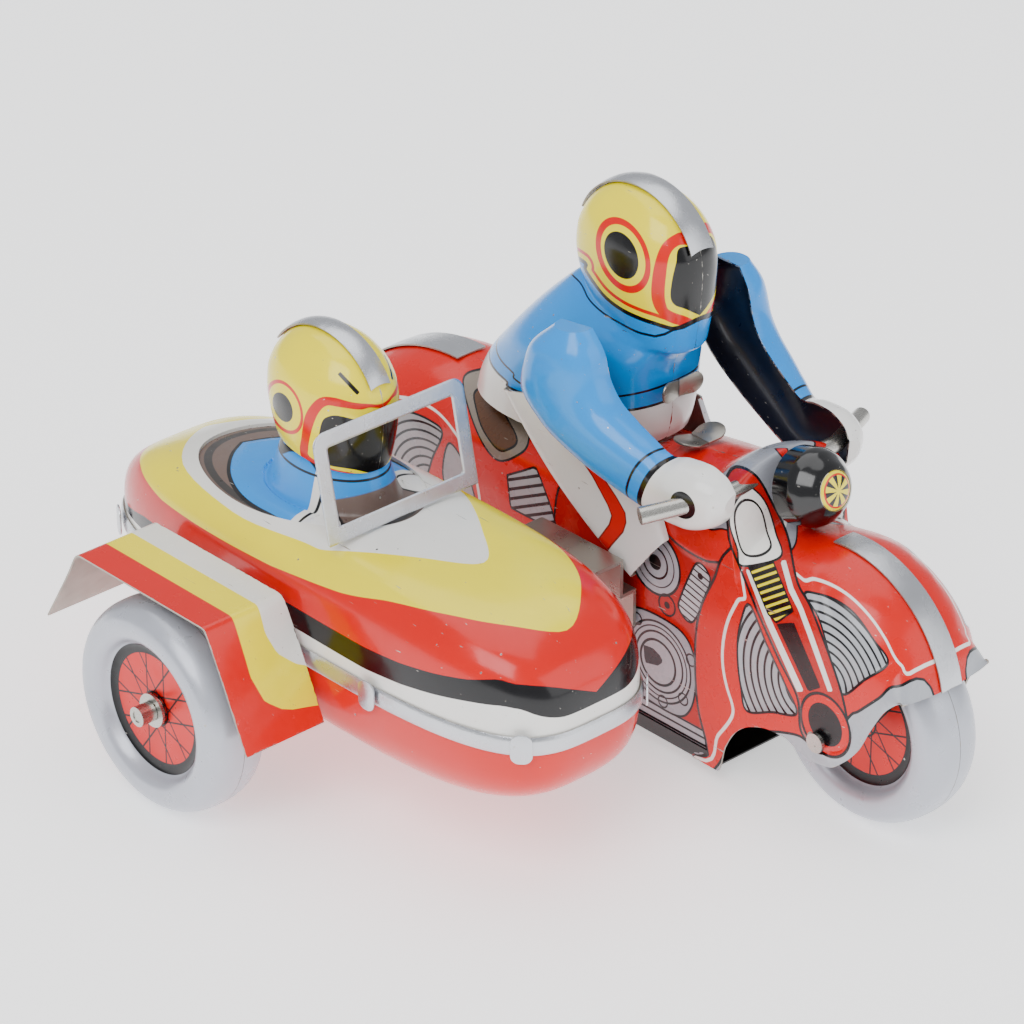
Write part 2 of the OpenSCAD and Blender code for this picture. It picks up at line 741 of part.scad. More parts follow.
module rider_left_shell() {
    color("deepskyblue") in_frame() mirror([0, 1, 0]) rider_half();
}

// Arm and glove in one pressing, open towards the rider, swung in towards the handlebar
arm_ribs = [
    [[-61, 91.5], [-69, 91], 4.5], [[-57.8, 87], [-75, 84.5], 7.5], [[-56.3, 82], [-76.5, 76.5], 8.5],
    [[-53.5, 77.8], [-71, 69.5], 8.5], [[-49.5, 75], [-61.5, 64], 8], [[-45, 72.5], [-53, 60.5], 7],
    [[-40, 70.3], [-46, 58], 6], [[-36, 72], [-41, 56.5], 7.4], [[-31, 72.8], [-34, 55.8], 8],
    [[-25.5, 71], [-27, 58.5], 6.5], [[-23.2, 68], [-23.8, 62], 3.6]];
arm_y = body_half + 3.6;
arm_swing = 7;

module rider_arm() {
    difference() {
        translate([-55, -arm_y, 0]) rotate([0, 0, arm_swing]) translate([55, 0, 0])
            to_right() dome_shell(arm_ribs, tin, 2.4);
        translate([bar_x, 0, bar_z]) grip_path(bar_d / 2 + 0.5);
    }
}

// The bent right end of the handlebar, as a cutter
module grip_path(r) {
    run_out = [bar_end_x - bar_x, bar_half - bar_bend_y, bar_end_z - bar_z];
    translate([0, -bar_bend_y, 0]) rotate([0, acos(run_out[2] / norm(run_out)), atan2(-run_out[1], run_out[0])])
        cylinder(r = r, h = norm(run_out) + 4);
    rod_y(r, -bar_bend_y - 0.1, 0);
}

module rider_right_arm() {
    color("deepskyblue") in_frame() rider_arm();
}

module rider_left_arm() {
    color("deepskyblue") in_frame() mirror([0, 1, 0]) rider_arm();
}

module rider_helmet_strip() {
    color("silver") in_frame() helmet_strip(rider_x, rider_z, rider_l, rider_h, 6.5, 20, 160);
}

module chest_clip() {
    color("gray") in_frame() translate([-57.8, 0, saddle_z + 15.5]) union() {
        cube([0.6, 3, 5], center = true);
        for (side = [-1, 1])
            translate([0.6, side * 3.8, 0]) rotate([0, 0, side * -24]) cube([0.6, 5, 5], center = true);
    }
}

// ---- Clockwork ----------------------------------------------------------------------------------
pressure = 24;
tooth_thin = 0.07;  // taken from each flank at the pitch circle
flank_steps = 3;

function involute(a) = tan(a) * 180 / PI - a;

// Outline of a spur gear with a tooth centred on angle zero
module gear_outline(teeth) {
    pitch = gear_module * teeth / 2;
    base = pitch * cos(pressure);
    top = pitch + tip * gear_module;
    root = pitch - 1.15 * gear_module;
    half = 90 / teeth - tooth_thin / pitch * 180 / PI + involute(pressure);
    flank = [for (i = [0:flank_steps])
        let (r = max(base, root) + (top - max(base, root)) * i / flank_steps)
        [r, half - involute(acos(base / r))]];
    foot = [root, flank[0][1] + 0.4];
    side = concat([foot], flank);
    polygon([for (k = [0:teeth - 1])
        each concat([for (i = [0:len(side) - 1]) let (p = side[i], t = 360 * k / teeth - p[1])
                        [p[0] * cos(t), p[0] * sin(t)]],
                    [for (i = [0:len(side) - 1]) let (p = side[len(side) - 1 - i], t = 360 * k / teeth + p[1])
                        [p[0] * cos(t), p[0] * sin(t)]])]);
}

// Gear at x, z with its middle at y, turned so that a tooth (or a gap) points at angle aim
module gear_at(x, z, y, thick, teeth, aim, gap, bore_r) {
    translate([x, 0, z]) plate_y(y - thick / 2, y + thick / 2) difference() {
        rotate([0, 0, aim + (gap ? 180 / teeth : 0)]) gear_outline(teeth);
        circle(r = bore_r, $fn = 48);
    }
}

aim_axle = atan2(wheel_r - second_z, rear_x - second_x);
aim_second = atan2(second_z - great_z, second_x - great_x);

motor_front = great_x + 24;
motor_back = rear_x - 4.5;
spring_r = 15.5;

module motor_plate(y0) {
    color("darkgoldenrod") in_frame() difference() {
        plate_y(y0, y0 + plate_t) difference() {
            polygon([[motor_front, base_z + 1.4], [motor_front, great_z + 21.5], [great_x - 15, great_z + 26],
                     [second_x - 2, second_z + 14], [motor_back, wheel_r + 5], [motor_back, wheel_r - 5],
                     [second_x - 3, base_z + 1.4]]);
            for (p = pillars) translate(p) circle(r = pillar_r - 0.6);
        }
        translate([great_x, 0, great_z]) rod_y(arbor_r + run, y0 - 1, y0 + plate_t + 1);
        translate([second_x, 0, second_z]) rod_y(1.2 + run, y0 - 1, y0 + plate_t + 1);
        translate([rear_x, 0, wheel_r]) rod_y(rear_axle_r + run, y0 - 1, y0 + plate_t + 1);
    }
}

module motor_plate_right() {
    motor_plate(-plate_in - plate_t);
}

module motor_plate_left() {
    motor_plate(plate_in);
}

module motor_pillars() {
    color("silver") in_frame() for (p = pillars)
        translate([p[0], 0, p[1]]) union() {
            rod_y(pillar_r, -plate_in, plate_in);
            rod_y(pillar_r - 0.6, -plate_in - plate_t - 0.4, plate_in + plate_t + 0.4);
        }
}

spring_turns = 5;
spring_t = 0.4;

module mainspring() {
    inner = arbor_r + 0.3;
    steps = spring_turns * 24;
    function radius(i) = inner + (spring_r - inner) * i / steps;
    line = [for (i = [0:steps]) [radius(i) * cos(15 * i), radius(i) * sin(15 * i)]];
    back = [for (i = [0:steps]) let (k = steps - i)
        [(radius(k) + spring_t) * cos(15 * k), (radius(k) + spring_t) * sin(15 * k)]];
    color("slategray") in_frame() translate([great_x, 0, great_z])
        plate_y(-spring_w / 2, spring_w / 2) polygon(concat(line, back));
}

module winding_arbor() {
    color("silver") in_frame() translate([great_x, 0, great_z])
        rod_y(arbor_r, -plate_in - plate_t - 0.8, body_half + 6);
}

ratchet_r = 6;
ratchet_y = great_y + gear_t / 2 + 0.7;

module ratchet_wheel() {
    teeth = 12;
    color("silver") in_frame() translate([great_x, 0, great_z])
        plate_y(ratchet_y - 0.5, ratchet_y + 0.5) difference() {
            polygon([for (k = [0:teeth - 1])
                each [[ratchet_r * cos(30 * k), ratchet_r * sin(30 * k)],
                      [(ratchet_r - 1.4) * cos(30 * k + 2), (ratchet_r - 1.4) * sin(30 * k + 2)]]]);
            circle(r = arbor_r, $fn = 48);
        }
}

module great_wheel() {
    color("goldenrod") in_frame()
        gear_at(great_x, great_z, great_y, gear_t, great_teeth, aim_second, false, arbor_r + run);
}

click_x = great_x + 10.5;

module click() {
    color("silver") in_frame() plate_y(ratchet_y - 0.45, ratchet_y + 0.45) union() {
        translate([click_x, great_z - 3]) circle(r = 2);
        polygon([[click_x - 2, great_z - 3], [click_x + 2, great_z - 3], [click_x - 3, great_z + 2.2],
                 [click_x - 4.1, great_z + 1.2]]);
    }
}

module click_spring() {
    color("goldenrod") in_frame() plate_y(ratchet_y - 0.4, ratchet_y + 0.4) union() {
        translate([click_x + 0.6, great_z + 8]) circle(r = 1.2);
        polygon([[click_x - 0.2, great_z + 8], [click_x + 0.4, great_z + 7.4], [click_x - 1.2, great_z + 2.2],
                 [click_x - 1.8, great_z + 2.2]]);
    }
}

module second_arbor() {
    color("silver") in_frame() translate([second_x, 0, second_z])
        rod_y(1.2, -plate_in - plate_t - 0.6, plate_in + plate_t + 0.6);
}

module second_pinion() {
    color("goldenrod") in_frame()
        gear_at(second_x, second_z, great_y, 3, second_pinion_teeth, aim_second + 180, true, 1.2);
}

module second_wheel() {
    color("goldenrod") in_frame()
        gear_at(second_x, second_z, second_y, gear_t, second_teeth, aim_axle, false, 1.2);
}

module axle_pinion() {
    color("goldenrod") in_frame()
        gear_at(rear_x, wheel_r, second_y, 2, axle_pinion_teeth, aim_axle + 180, true, rear_axle_r);
}

module key_shaft() {
    color("silver") in_frame() translate([great_x, 0, great_z]) difference() {
        rod_y(arbor_r + 0.9, body_half + 1.5, body_half + key_l - key_w / 2);
        rod_y(arbor_r, body_half, body_half + 6.05);
    }
}

module key_bow() {
    lobe = key_w / 4;
    color("silver") in_frame() translate([great_x - 0.6, body_half + key_l - lobe, great_z])
        rotate([90, 0, 90]) linear_extrude(1.2) difference() {
            union() {
                for (side = [-1, 1]) translate([0, side * lobe]) circle(r = lobe);
                translate([-lobe, -arbor_r - 0.9]) square([2 * lobe - 1, 2 * arbor_r + 1.8]);
            }
            for (side = [-1, 1]) translate([0, side * lobe]) circle(r = lobe * 0.5);
        }
}

body_right_shell();
body_left_shell();
base_plate();
front_fender_strip();
rear_fender_strip();
tank_clip();
headlamp_shell();
headlamp_lens();
handlebar();
front_axle();
front_wheel_right_half();
front_wheel_left_half();
front_hub_sleeve();
rear_axle();
rear_wheel_right_half();
rear_wheel_left_half();
rear_hub_sleeve();
sidecar_axle();
sidecar_wheel_outer_half();
sidecar_wheel_inner_half();
sidecar_hub_sleeve();
axle_washer();
axle_crimp();
sidecar_top_shell();
sidecar_tub();
rim_band();
rim_clips();
cockpit_plate();
windshield_frame();
sidecar_fender();
sidecar_bracket();
passenger_head_right();
passenger_head_left();
passenger_helmet_strip();
rider_right_shell();
rider_left_shell();
rider_right_arm();
rider_left_arm();
rider_helmet_strip();
chest_clip();
motor_plate_right();
motor_plate_left();
motor_pillars();
mainspring();
winding_arbor();
ratchet_wheel();
great_wheel();
click();
click_spring();
second_arbor();
second_pinion();
second_wheel();
axle_pinion();
key_shaft();
key_bow();
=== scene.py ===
# %% [markdown]
# # Tin wind-up motorcycle with sidecar
# The toy is made of thin tinplate that was printed flat and then pressed into shells. The packed
# model gives every place and size, and this script builds the finished sheets around it.

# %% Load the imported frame
import json
import math
import bpy
import numpy as np
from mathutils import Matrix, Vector


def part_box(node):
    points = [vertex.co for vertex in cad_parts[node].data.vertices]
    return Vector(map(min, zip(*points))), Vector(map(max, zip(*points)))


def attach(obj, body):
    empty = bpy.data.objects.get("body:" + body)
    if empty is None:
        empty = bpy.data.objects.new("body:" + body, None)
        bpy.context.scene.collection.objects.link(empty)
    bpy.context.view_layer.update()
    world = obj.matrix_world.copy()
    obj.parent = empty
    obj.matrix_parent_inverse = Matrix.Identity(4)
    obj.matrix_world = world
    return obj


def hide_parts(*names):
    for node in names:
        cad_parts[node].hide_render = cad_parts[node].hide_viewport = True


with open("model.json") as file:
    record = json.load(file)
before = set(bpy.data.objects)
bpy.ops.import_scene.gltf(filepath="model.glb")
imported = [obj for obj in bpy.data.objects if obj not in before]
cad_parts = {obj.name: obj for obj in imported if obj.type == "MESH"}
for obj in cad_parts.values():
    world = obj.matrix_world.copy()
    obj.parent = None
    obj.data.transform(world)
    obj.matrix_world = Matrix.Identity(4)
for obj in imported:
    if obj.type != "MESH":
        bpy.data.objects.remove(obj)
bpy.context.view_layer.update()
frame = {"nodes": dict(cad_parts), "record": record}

MM = 0.001
axle_low, axle_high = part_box("front_axle")
ORIGIN = np.array([(axle_low.x + axle_high.x) / 2, (axle_low.y + axle_high.y) / 2, 0.0])
SLOTS = {row["node"]: row["material_slot"] for row in frame["record"]["subparts"]}
print("origin of the layout", ORIGIN, len(SLOTS), "nodes")

# %% [markdown]
# ## Working frame
# Sizes are written in millimetres from the place where the front wheel touches the floor: x runs
# forward, y to the rider's left and z up. `EYE` is where the camera stands. The outlines of the body's
# and the heads' print are written as they look from there against an upright plane, so `flat` carries
# a point of the sheet along its line of sight to that plane. The result is stored on the mesh, so the
# print stays where it is on the sheet in every other view.

# %% Layout and shared sizes
CAMERA_AT = (0.61665, -0.56589, 0.51584)
EYE = (np.array(CAMERA_AT) - ORIGIN) / MM
TIN, SEAM = 0.4, 0.02
BODY_HALF, SADDLE_Z = 16.0, 57.0
WHEEL_R, REAR_X = 22.5, -124.0
SIDE_X, SIDE_Y = -97.0, -100.0
BOAT_X, BOAT_Y, RIM_Z = -80.0, -58.5, 35.0
BOAT_HALF, BOAT_FRONT, BOAT_REAR, DECK_H, TUB_H = 24.0, 61.5, 72.0, 23.0, 21.5
COCKPIT_X, COCKPIT_HALF_L, COCKPIT_HALF_W = -102.0, 29.0, 17.5


def metres(points):
    """Layout millimetres to the frame's metres."""
    return np.asarray(points, float) * MM + ORIGIN


def flat(p, y):
    """Where the line of sight through each point meets the upright plane y: its x and z."""
    t = (y - EYE[1]) / (p[:, 1] - EYE[1])
    return EYE[0] + (p[:, 0] - EYE[0]) * t, EYE[2] + (p[:, 2] - EYE[2]) * t


print("camera stands at", EYE.round(1), "mm in the layout")

# %% [markdown]
# ## Smooth rows of numbers
# A pressing is a row of ribs. Straight runs between ribs would show as facets, so each value is
# carried from rib to rib by a cubic that never overshoots.

# %% Interpolation
def smooth_rows(rows, count):
    """The rows resampled to count. The 0.2 keeps rows apart that are the same."""
    v = np.asarray(rows, float)
    n = len(v)
    step = np.linalg.norm(np.diff(v, axis=0), axis=1) + 0.2
    s = np.interp(np.linspace(0, step.sum(), count), np.r_[0, step.cumsum()], np.arange(n))
    d = np.diff(v, axis=0)
    m = np.zeros_like(v)
    turn = d[:-1] * d[1:]
    m[1:-1] = np.where(turn > 0, 2 * turn / np.where(turn > 0, d[:-1] + d[1:], 1), 0)
    m[0], m[-1] = d[0], d[-1]
    i = np.minimum(s.astype(int), n - 2)
    t = (s - i)[:, None]
    return ((2 * t**3 - 3 * t**2 + 1) * v[i] + (t**3 - 2 * t**2 + t) * m[i]
            + (3 * t**2 - 2 * t**3) * v[i + 1] + (t**3 - t**2) * m[i + 1])


def rounded(points, parts=6):
    """A closed Catmull-Rom line through the points."""
    p = np.asarray(points, float)
    out = []
    for i in range(len(p)):
        a, b, c, d = [p[k % len(p)] for k in range(i - 1, i + 3)]
        for t in np.arange(parts) / parts:
            out.append(0.5 * (2 * b + (c - a) * t + (2 * a - 5 * b + 4 * c - d) * t**2
                              + (3 * b - a - 3 * c + d) * t**3))
    return np.array(out)


def inside_distance(outline, x, z):
    """Signed distance in mm from a closed outline, negative inside."""
    best = np.full(x.shape, 1e9)
    inside = np.zeros(x.shape, bool)
    ends = np.roll(outline, -1, axis=0)
    for (ax, az), (bx, bz) in zip(outline, ends):
        ex, ez = bx - ax, bz - az
        t = np.clip(((x - ax) * ex + (z - az) * ez) / max(ex * ex + ez * ez, 1e-9), 0, 1)
        best = np.minimum(best, (x - ax - t * ex) ** 2 + (z - az - t * ez) ** 2)
        if bz != az:
            inside ^= ((az > z) != (bz > z)) & (x < ax + (z - az) * ex / ez)
    return np.where(inside, -1, 1) * np.sqrt(best)


def ease(value, low, high):
    """0 below low, 1 above high, and a soft step between them."""
    t = np.clip((value - low) / (high - low), 0, 1)
    return t * t * (3 - 2 * t)


print("a rounded square has", len(rounded([(0, 0), (1, 0), (1, 1), (0, 1)])), "points")

# %% [markdown]
# ## Materials
# Lithographed tin is a printed enamel under a clear varnish: even colour, sharp edges between the
# inks, a soft gloss, and bright metal wherever a scratch or a worn rim goes through. Each print is a
# list of layers in painter's order: (where, kind, size, colour, within). A layer reads a distance in
# millimetres, from a named vertex attribute or from a centre, and inks the places where it comes out
# negative. `within` names an attribute that the ink stays inside.

# %% Node helper
def linear(text):
    """sRGB hex to linear RGBA."""
    c = [int(text[i:i + 2], 16) / 255 for i in (1, 3, 5)]
    return [v / 12.92 if v <= 0.04045 else ((v + 0.055) / 1.055) ** 2.4 for v in c] + [1.0]


def add(tree, kind, wires=(), out=0, **settings):
    """Adds a node. wires gives its inputs: a socket is linked, any other value is set."""
    node = tree.nodes.new(kind)
    for key, value in settings.items():
        setattr(node, key, value)
    for slot, source in wires:
        if isinstance(source, bpy.types.NodeSocket):
            tree.links.new(source, node.inputs[slot])
        else:
            node.inputs[slot].default_value = source
    return node.outputs[out]


# %% Ink helpers
BARE = "#B4B0A8"
ROLLING = (0.15, 4.0, 4.0)


def ink_steps(kind, size):
    """The sums that turn a distance into one that is negative where the ink lies."""
    if kind == "fill":
        return ()
    if kind == "line":
        return ("ABSOLUTE", None), ("SUBTRACT", size / 2)
    if kind == "disc":
        return (("SUBTRACT", size),)
    if kind == "ring":
        return ("SUBTRACT", size[0]), ("ABSOLUTE", None), ("SUBTRACT", size[1] / 2)
    first, spacing, width = size
    return ("SUBTRACT", first), ("PINGPONG", spacing / 2), ("SUBTRACT", width / 2)


print("a line of ink takes", len(ink_steps("line", 1)), "sums")


# %% Tinplate materials
def tinplate(name, ground, layers=(), gloss=0.26, metal=0.0, coat=0.2, wear=1.0, grain=0.0):
    """A printed or bare tin surface: layers of ink, then specks, scratches and worn rims."""
    mat = bpy.data.materials.new(name)
    mat.use_nodes = True
    tree = mat.node_tree
    tree.nodes.clear()
    place = add(tree, "ShaderNodeTexCoord", out="Object")
    spot = add(tree, "ShaderNodeMapping", [("Vector", place), ("Scale", (1000,) * 3),
                                           ("Location", tuple(-1000 * ORIGIN))])
    drift = add(tree, "ShaderNodeTexNoise", [("Vector", spot), ("Scale", 0.07), ("Detail", 3)])
    tone = add(tree, "ShaderNodeMapRange", [("Value", drift), ("To Min", 0.93), ("To Max", 1.06)])
    ink = linear(ground)
    for where, kind, size, colour, within in layers:
        if isinstance(where, str):
            field = add(tree, "ShaderNodeAttribute", out="Fac", attribute_name=where)
        else:
            px = add(tree, "ShaderNodeAttribute", out="Fac", attribute_name="flat_x")
            pz = add(tree, "ShaderNodeAttribute", out="Fac", attribute_name="flat_z")
            here = add(tree, "ShaderNodeCombineXYZ", [("X", px), ("Y", pz)])
            if kind == "bars":
                swung = add(tree, "ShaderNodeMapping", [("Vector", here), ("Rotation", (0, 0, where[2]))])
                field = add(tree, "ShaderNodeSeparateXYZ", [("Vector", swung)], out="Y")
            else:
                field = add(tree, "ShaderNodeVectorMath", [(0, here), (1, (where[0], where[1], 0))],
                            out="Value", operation="DISTANCE")
        for operation, value in ink_steps(kind, size):
            wires = [(0, field)] if value is None else [(0, field), (1, value)]
            field = add(tree, "ShaderNodeMath", wires, operation=operation)
        if within:
            edge = add(tree, "ShaderNodeAttribute", out="Fac", attribute_name=within)
            field = add(tree, "ShaderNodeMath", [(0, field), (1, edge)], operation="MAXIMUM")
        mask = add(tree, "ShaderNodeMapRange", [("Value", field), ("From Min", 0.05), ("From Max", -0.05)])
        ink = add(tree, "ShaderNodeMix", [("Factor", mask), (6, ink), (7, linear(colour))],
                  out=2, data_type="RGBA")
    ink = add(tree, "ShaderNodeMix", [("Factor", 1.0), (6, ink), (7, tone)], out=2, data_type="RGBA",
              blend_type="MULTIPLY")
    # Specks of lost ink, 0.4 mm across and about 6 mm apart
    speck = add(tree, "ShaderNodeTexVoronoi", [("Vector", spot), ("Scale", 0.16)], out="Distance")
    speck = add(tree, "ShaderNodeMapRange", [("Value", speck), ("From Min", 0.042), ("From Max", 0.034)])
    # Fine scratches, 0.15 mm wide and 8 mm long, leaning across the sheet
    lean = add(tree, "ShaderNodeMapping", [("Vector", spot), ("Rotation", (0.5, 0.35, 0.4)),
                                           ("Scale", (0.12, 2.4, 2.4))])
    scratch = add(tree, "ShaderNodeTexNoise", [("Vector", lean), ("Scale", 0.8), ("Detail", 2)])
    scratch = add(tree, "ShaderNodeMapRange", [("Value", scratch), ("From Min", 0.735), ("From Max", 0.76)])
    # Rims lose their ink in an uneven band under half a millimetre wide
    rim = add(tree, "ShaderNodeAttribute", out="Fac", attribute_name="rim")
    ragged = add(tree, "ShaderNodeTexNoise", [("Vector", spot), ("Scale", 0.5), ("Detail", 4)])
    ragged = add(tree, "ShaderNodeMapRange", [("Value", ragged), ("From Min", 0.45), ("From Max", 0.75),
                                              ("To Min", 1.08), ("To Max", 0.55)])
    rim = add(tree, "ShaderNodeMath", [(0, rim), (1, ragged)], operation="GREATER_THAN")
    worn = add(tree, "ShaderNodeMath", [(0, speck), (1, scratch)], operation="MAXIMUM")
    worn = add(tree, "ShaderNodeMath", [(0, worn), (1, rim)], operation="MAXIMUM")
    worn = add(tree, "ShaderNodeMath", [(0, worn), (1, wear)], operation="MULTIPLY", use_clamp=True)
    ink = add(tree, "ShaderNodeMix", [("Factor", worn), (6, ink), (7, linear(BARE))], out=2,
              data_type="RGBA")
    smear = add(tree, "ShaderNodeTexNoise", [("Vector", spot), ("Scale", 0.25), ("Detail", 5)])
    rough = add(tree, "ShaderNodeMapRange", [("Value", smear), ("From Min", 0.3), ("From Max", 0.7),
                                             ("To Min", gloss * 0.8), ("To Max", gloss * 1.35)])
    metallic = add(tree, "ShaderNodeMath", [(0, worn), (1, metal)], operation="MAXIMUM")
    wave = add(tree, "ShaderNodeTexNoise", [("Vector", spot), ("Scale", 0.11), ("Detail", 2)])
    bump = add(tree, "ShaderNodeBump", [("Height", wave), ("Strength", 0.22), ("Distance", 0.0008)])
    if grain:
        brush = add(tree, "ShaderNodeMapping", [("Vector", spot), ("Scale", ROLLING)])
        lines = add(tree, "ShaderNodeTexNoise", [("Vector", brush), ("Scale", 1.5), ("Detail", 4)])
        bump = add(tree, "ShaderNodeBump", [("Height", lines), ("Strength", grain), ("Distance", 0.0001),
                                            ("Normal", bump)])
    dent = add(tree, "ShaderNodeMath", [(0, worn), (1, -1.0)], operation="MULTIPLY")
    bump = add(tree, "ShaderNodeBump", [("Height", dent), ("Strength", 0.5), ("Distance", 0.00005),
                                        ("Normal", bump)])
    shader = add(tree, "ShaderNodeBsdfPrincipled", [
        ("Base Color", ink), ("Roughness", rough), ("Metallic", metallic), ("Normal", bump),
        ("Specular IOR Level", 0.35), ("Coat Weight", coat), ("Coat Roughness", 0.1)], out="BSDF")
    tree.links.new(shader, tree.nodes.new("ShaderNodeOutputMaterial").inputs["Surface"])
    return mat


# The unprinted back of the sheet is dull grey tin with rolling marks
lining = tinplate("bare tinplate back", "#A39C92", gloss=0.34, metal=0.75, coat=0.0, wear=0.3,
                  grain=0.3)
# Clips rubbed by fingers are a little brighter, with stronger streaks
bare_tin = tinplate("bare rubbed tinplate", "#A8A39A", gloss=0.3, metal=0.85, coat=0.0, wear=0.4,
                    grain=0.35)
print("made", lining.name, bare_tin.name)

# %% [markdown]
# ## Pressings
# Each shell starts as a grid primitive in edit mode, whose vertices a formula moves to the pressed
# surface. Doubled points are merged and the normals turned outwards before Solidify gives the sheet
# its thickness inwards, so the printed face keeps its size and the back is bare tin.

# %% Reading and writing mesh values
def deselect():
    bpy.ops.object.select_all(action="DESELECT")


def values_of(items, key, width=1, kind=float):
    """One property of all the items of a mesh, as an array."""
    values = np.empty(len(items) * width, kind)
    items.foreach_get(key, values)
    return values.reshape(-1, width) if width > 1 else values


def keep_field(piece, key, values):
    piece.data.attributes.new(key, "FLOAT", "POINT").data.foreach_set("value", values)


print("mesh helpers ready")


# %% The pressing tool
def press(name, points, material, inside, body="toy_body", wall=TIN, art=None, back=None,
          smooth=40):
    """A sheet through a grid of layout points (rows, columns, 3), thickened away from its face.

    inside is a layout point on the hollow side, and tells which way the face looks."""
    points = np.asarray(points, float)
    n, m = points.shape[:2]
    deselect()
    bpy.ops.mesh.primitive_grid_add(x_subdivisions=m - 1, y_subdivisions=n - 1, size=2)
    piece = bpy.context.object
    piece.name = piece.data.name = name
    co = values_of(piece.data.vertices, "co", 3)
    col = np.rint((co[:, 0] + 1) / 2 * (m - 1)).astype(int)
    row = np.rint((co[:, 1] + 1) / 2 * (n - 1)).astype(int)
    piece.data.vertices.foreach_set("co", metres(points[row, col]).ravel())
    bpy.ops.object.mode_set(mode="EDIT")
    bpy.ops.mesh.select_all(action="SELECT")
    bpy.ops.mesh.remove_doubles(threshold=0.00002)
    bpy.ops.mesh.normals_make_consistent(inside=False)
    bpy.ops.object.mode_set(mode="OBJECT")
    normal, centre = (values_of(piece.data.polygons, key, 3) for key in ("normal", "center"))
    if ((centre - metres(inside)) * normal).sum() < 0:
        piece.data.flip_normals()
    # The open edge of the sheet, marked so that its ink can wear
    used = np.zeros(len(piece.data.edges), int)
    np.add.at(used, values_of(piece.data.loops, "edge_index", 1, int), 1)
    ends = values_of(piece.data.edges, "vertices", 2, int)
    rim = np.zeros(len(piece.data.vertices))
    rim[ends[used == 1].ravel()] = 1
    keep_field(piece, "rim", rim)
    piece.data.materials.append(material)
    piece.data.materials.append(back or lining)
    sheet = piece.modifiers.new("sheet", "SOLIDIFY")
    sheet.thickness = wall * MM
    sheet.offset = -1
    sheet.material_offset = 1
    sheet.material_offset_rim = 1
    bpy.ops.object.modifier_apply(modifier=sheet.name)
    if art:
        layout = (values_of(piece.data.vertices, "co", 3) - ORIGIN) / MM
        for key, values in art(layout).items():
            keep_field(piece, key, values)
    bpy.ops.object.shade_smooth_by_angle(angle=math.radians(smooth))
    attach(piece, body)
    print(name, len(piece.data.polygons), "faces")
    return piece


# %% Shell shapes
def gutter(ribs, side, relief, across=90, along=300):
    """Ribs [ax, az, bx, bz, depth, round] to a side shell whose crown turns over by round."""
    v = smooth_rows([[*a, *b, d, r] for a, b, d, r in ribs], along)
    a, b, depth, turn = v[:, 0:2], v[:, 2:4], v[:, 4:5], v[:, 5:6]
    run = np.linalg.norm(b - a, axis=1, keepdims=True)
    turn = np.minimum(turn, 0.75 * run)
    arc = (turn + depth) / 2 * math.pi / 2
    s = np.linspace(0, 1, across)[None, :] * (arc + run - turn)
    angle = np.clip(s / arc, 0, 1) * math.pi / 2
    down = turn * (1 - np.cos(angle)) + np.clip(s - arc, 0, None)
    out = depth * np.sin(angle)
    share = down / run
    x = a[:, 0:1] + (b - a)[:, 0:1] * share
    z = a[:, 1:2] + (b - a)[:, 1:2] * share
    # The relief fades out towards the crown, where the two shells meet
    side_on = np.stack([x.ravel(), -out.ravel(), z.ravel()], 1)
    out = out + (relief(side_on) * ease(out.ravel(), 4, 15)).reshape(out.shape)
    return np.stack([x, side * (out + SEAM), z], 2)


def dome(ribs, power, across=48, along=90, close=True):
    """Ribs [a, b, depth] to a half shell; each rib is half a superellipse from a to b."""
    v = smooth_rows([[*a, *b, d] for a, b, d in ribs], along)
    t = np.linspace(0, math.pi, 400)
    c, s = np.cos(t), np.sin(t)
    u0 = (1 - np.sign(c) * np.abs(c) ** (2 / power)) / 2
    h0 = np.abs(s) ** (2 / power)
    out = []
    for ax, az, bx, bz, depth in v:
        px, pz, ph = ax + (bx - ax) * u0, az + (bz - az) * u0, depth * h0
        run = np.r_[0, np.cumsum(np.sqrt(np.diff(px)**2 + np.diff(pz)**2 + np.diff(ph)**2))]
        k = np.linspace(0, run[-1], across)
        out.append(np.stack([np.interp(k, run, px), np.interp(k, run, ph), np.interp(k, run, pz)], 1))
    out = np.array(out)
    if close:
        middle = out[0].mean(0) * [1, 0, 1]
        lids = [middle + (out[0] - middle) * f for f in (0.0, 0.35, 0.7)]
        out = np.concatenate([lids, out])
    return out


def turned(points, side, y):
    """A half shell bulging to +y, laid at the plane y on the given side."""
    p = points.copy()
    p[..., 1] = y + side * (p[..., 1] + SEAM)
    return p


print("seam between two half shells", 2 * SEAM, "mm")

# %% [markdown]
# ## Motorcycle body
# Two mirrored stampings meet at the crown. The front skirt and fork stand proud of the engine, which
# is pressed about a millimetre deeper. Fork, louvres, engine rings and pinstripes are outlines in
# millimetres on the plane of the right side, as they look from the camera. The left side mirrors them.

# %% Outlines of the printed side
SKIRT = [(-28, 52), (-30, 46.5), (-33, 40), (-34.6, 34), (-35, 27), (-34.6, 20), (-33.6, 14),
         (-31.5, 8.5), (-30.6, 5.3), (-28, 0), (60, -10), (70, 90), (-10, 80), (-22, 60)]
FORK = [(-26.8, 60), (-26, 56), (-23, 51.5), (-18, 44), (-12, 36), (-6.5, 29.5), (-5, 22), (1, 20),
        (7, 25), (5.5, 35), (-3, 50), (-7.5, 55), (-10.5, 64), (-14.5, 69), (-19.5, 73.6),
        (-25.5, 73), (-28, 67)]
FIELD = [(-22.5, 52.3), (-23.9, 55.4), (-26.4, 61.6), (-22.2, 69.6), (-19.2, 70.2), (-16.1, 68.2),
         (-13.6, 63.2), (-12.3, 58.5)]
WINDOW = [(-22.2, 55.3), (-24.4, 59.3), (-24.9, 62.9), (-23.9, 65.4), (-22.2, 67.1), (-19.7, 67.7),
          (-17.5, 66.3), (-16.1, 62.7), (-14.9, 59.7), (-18, 56.5)]
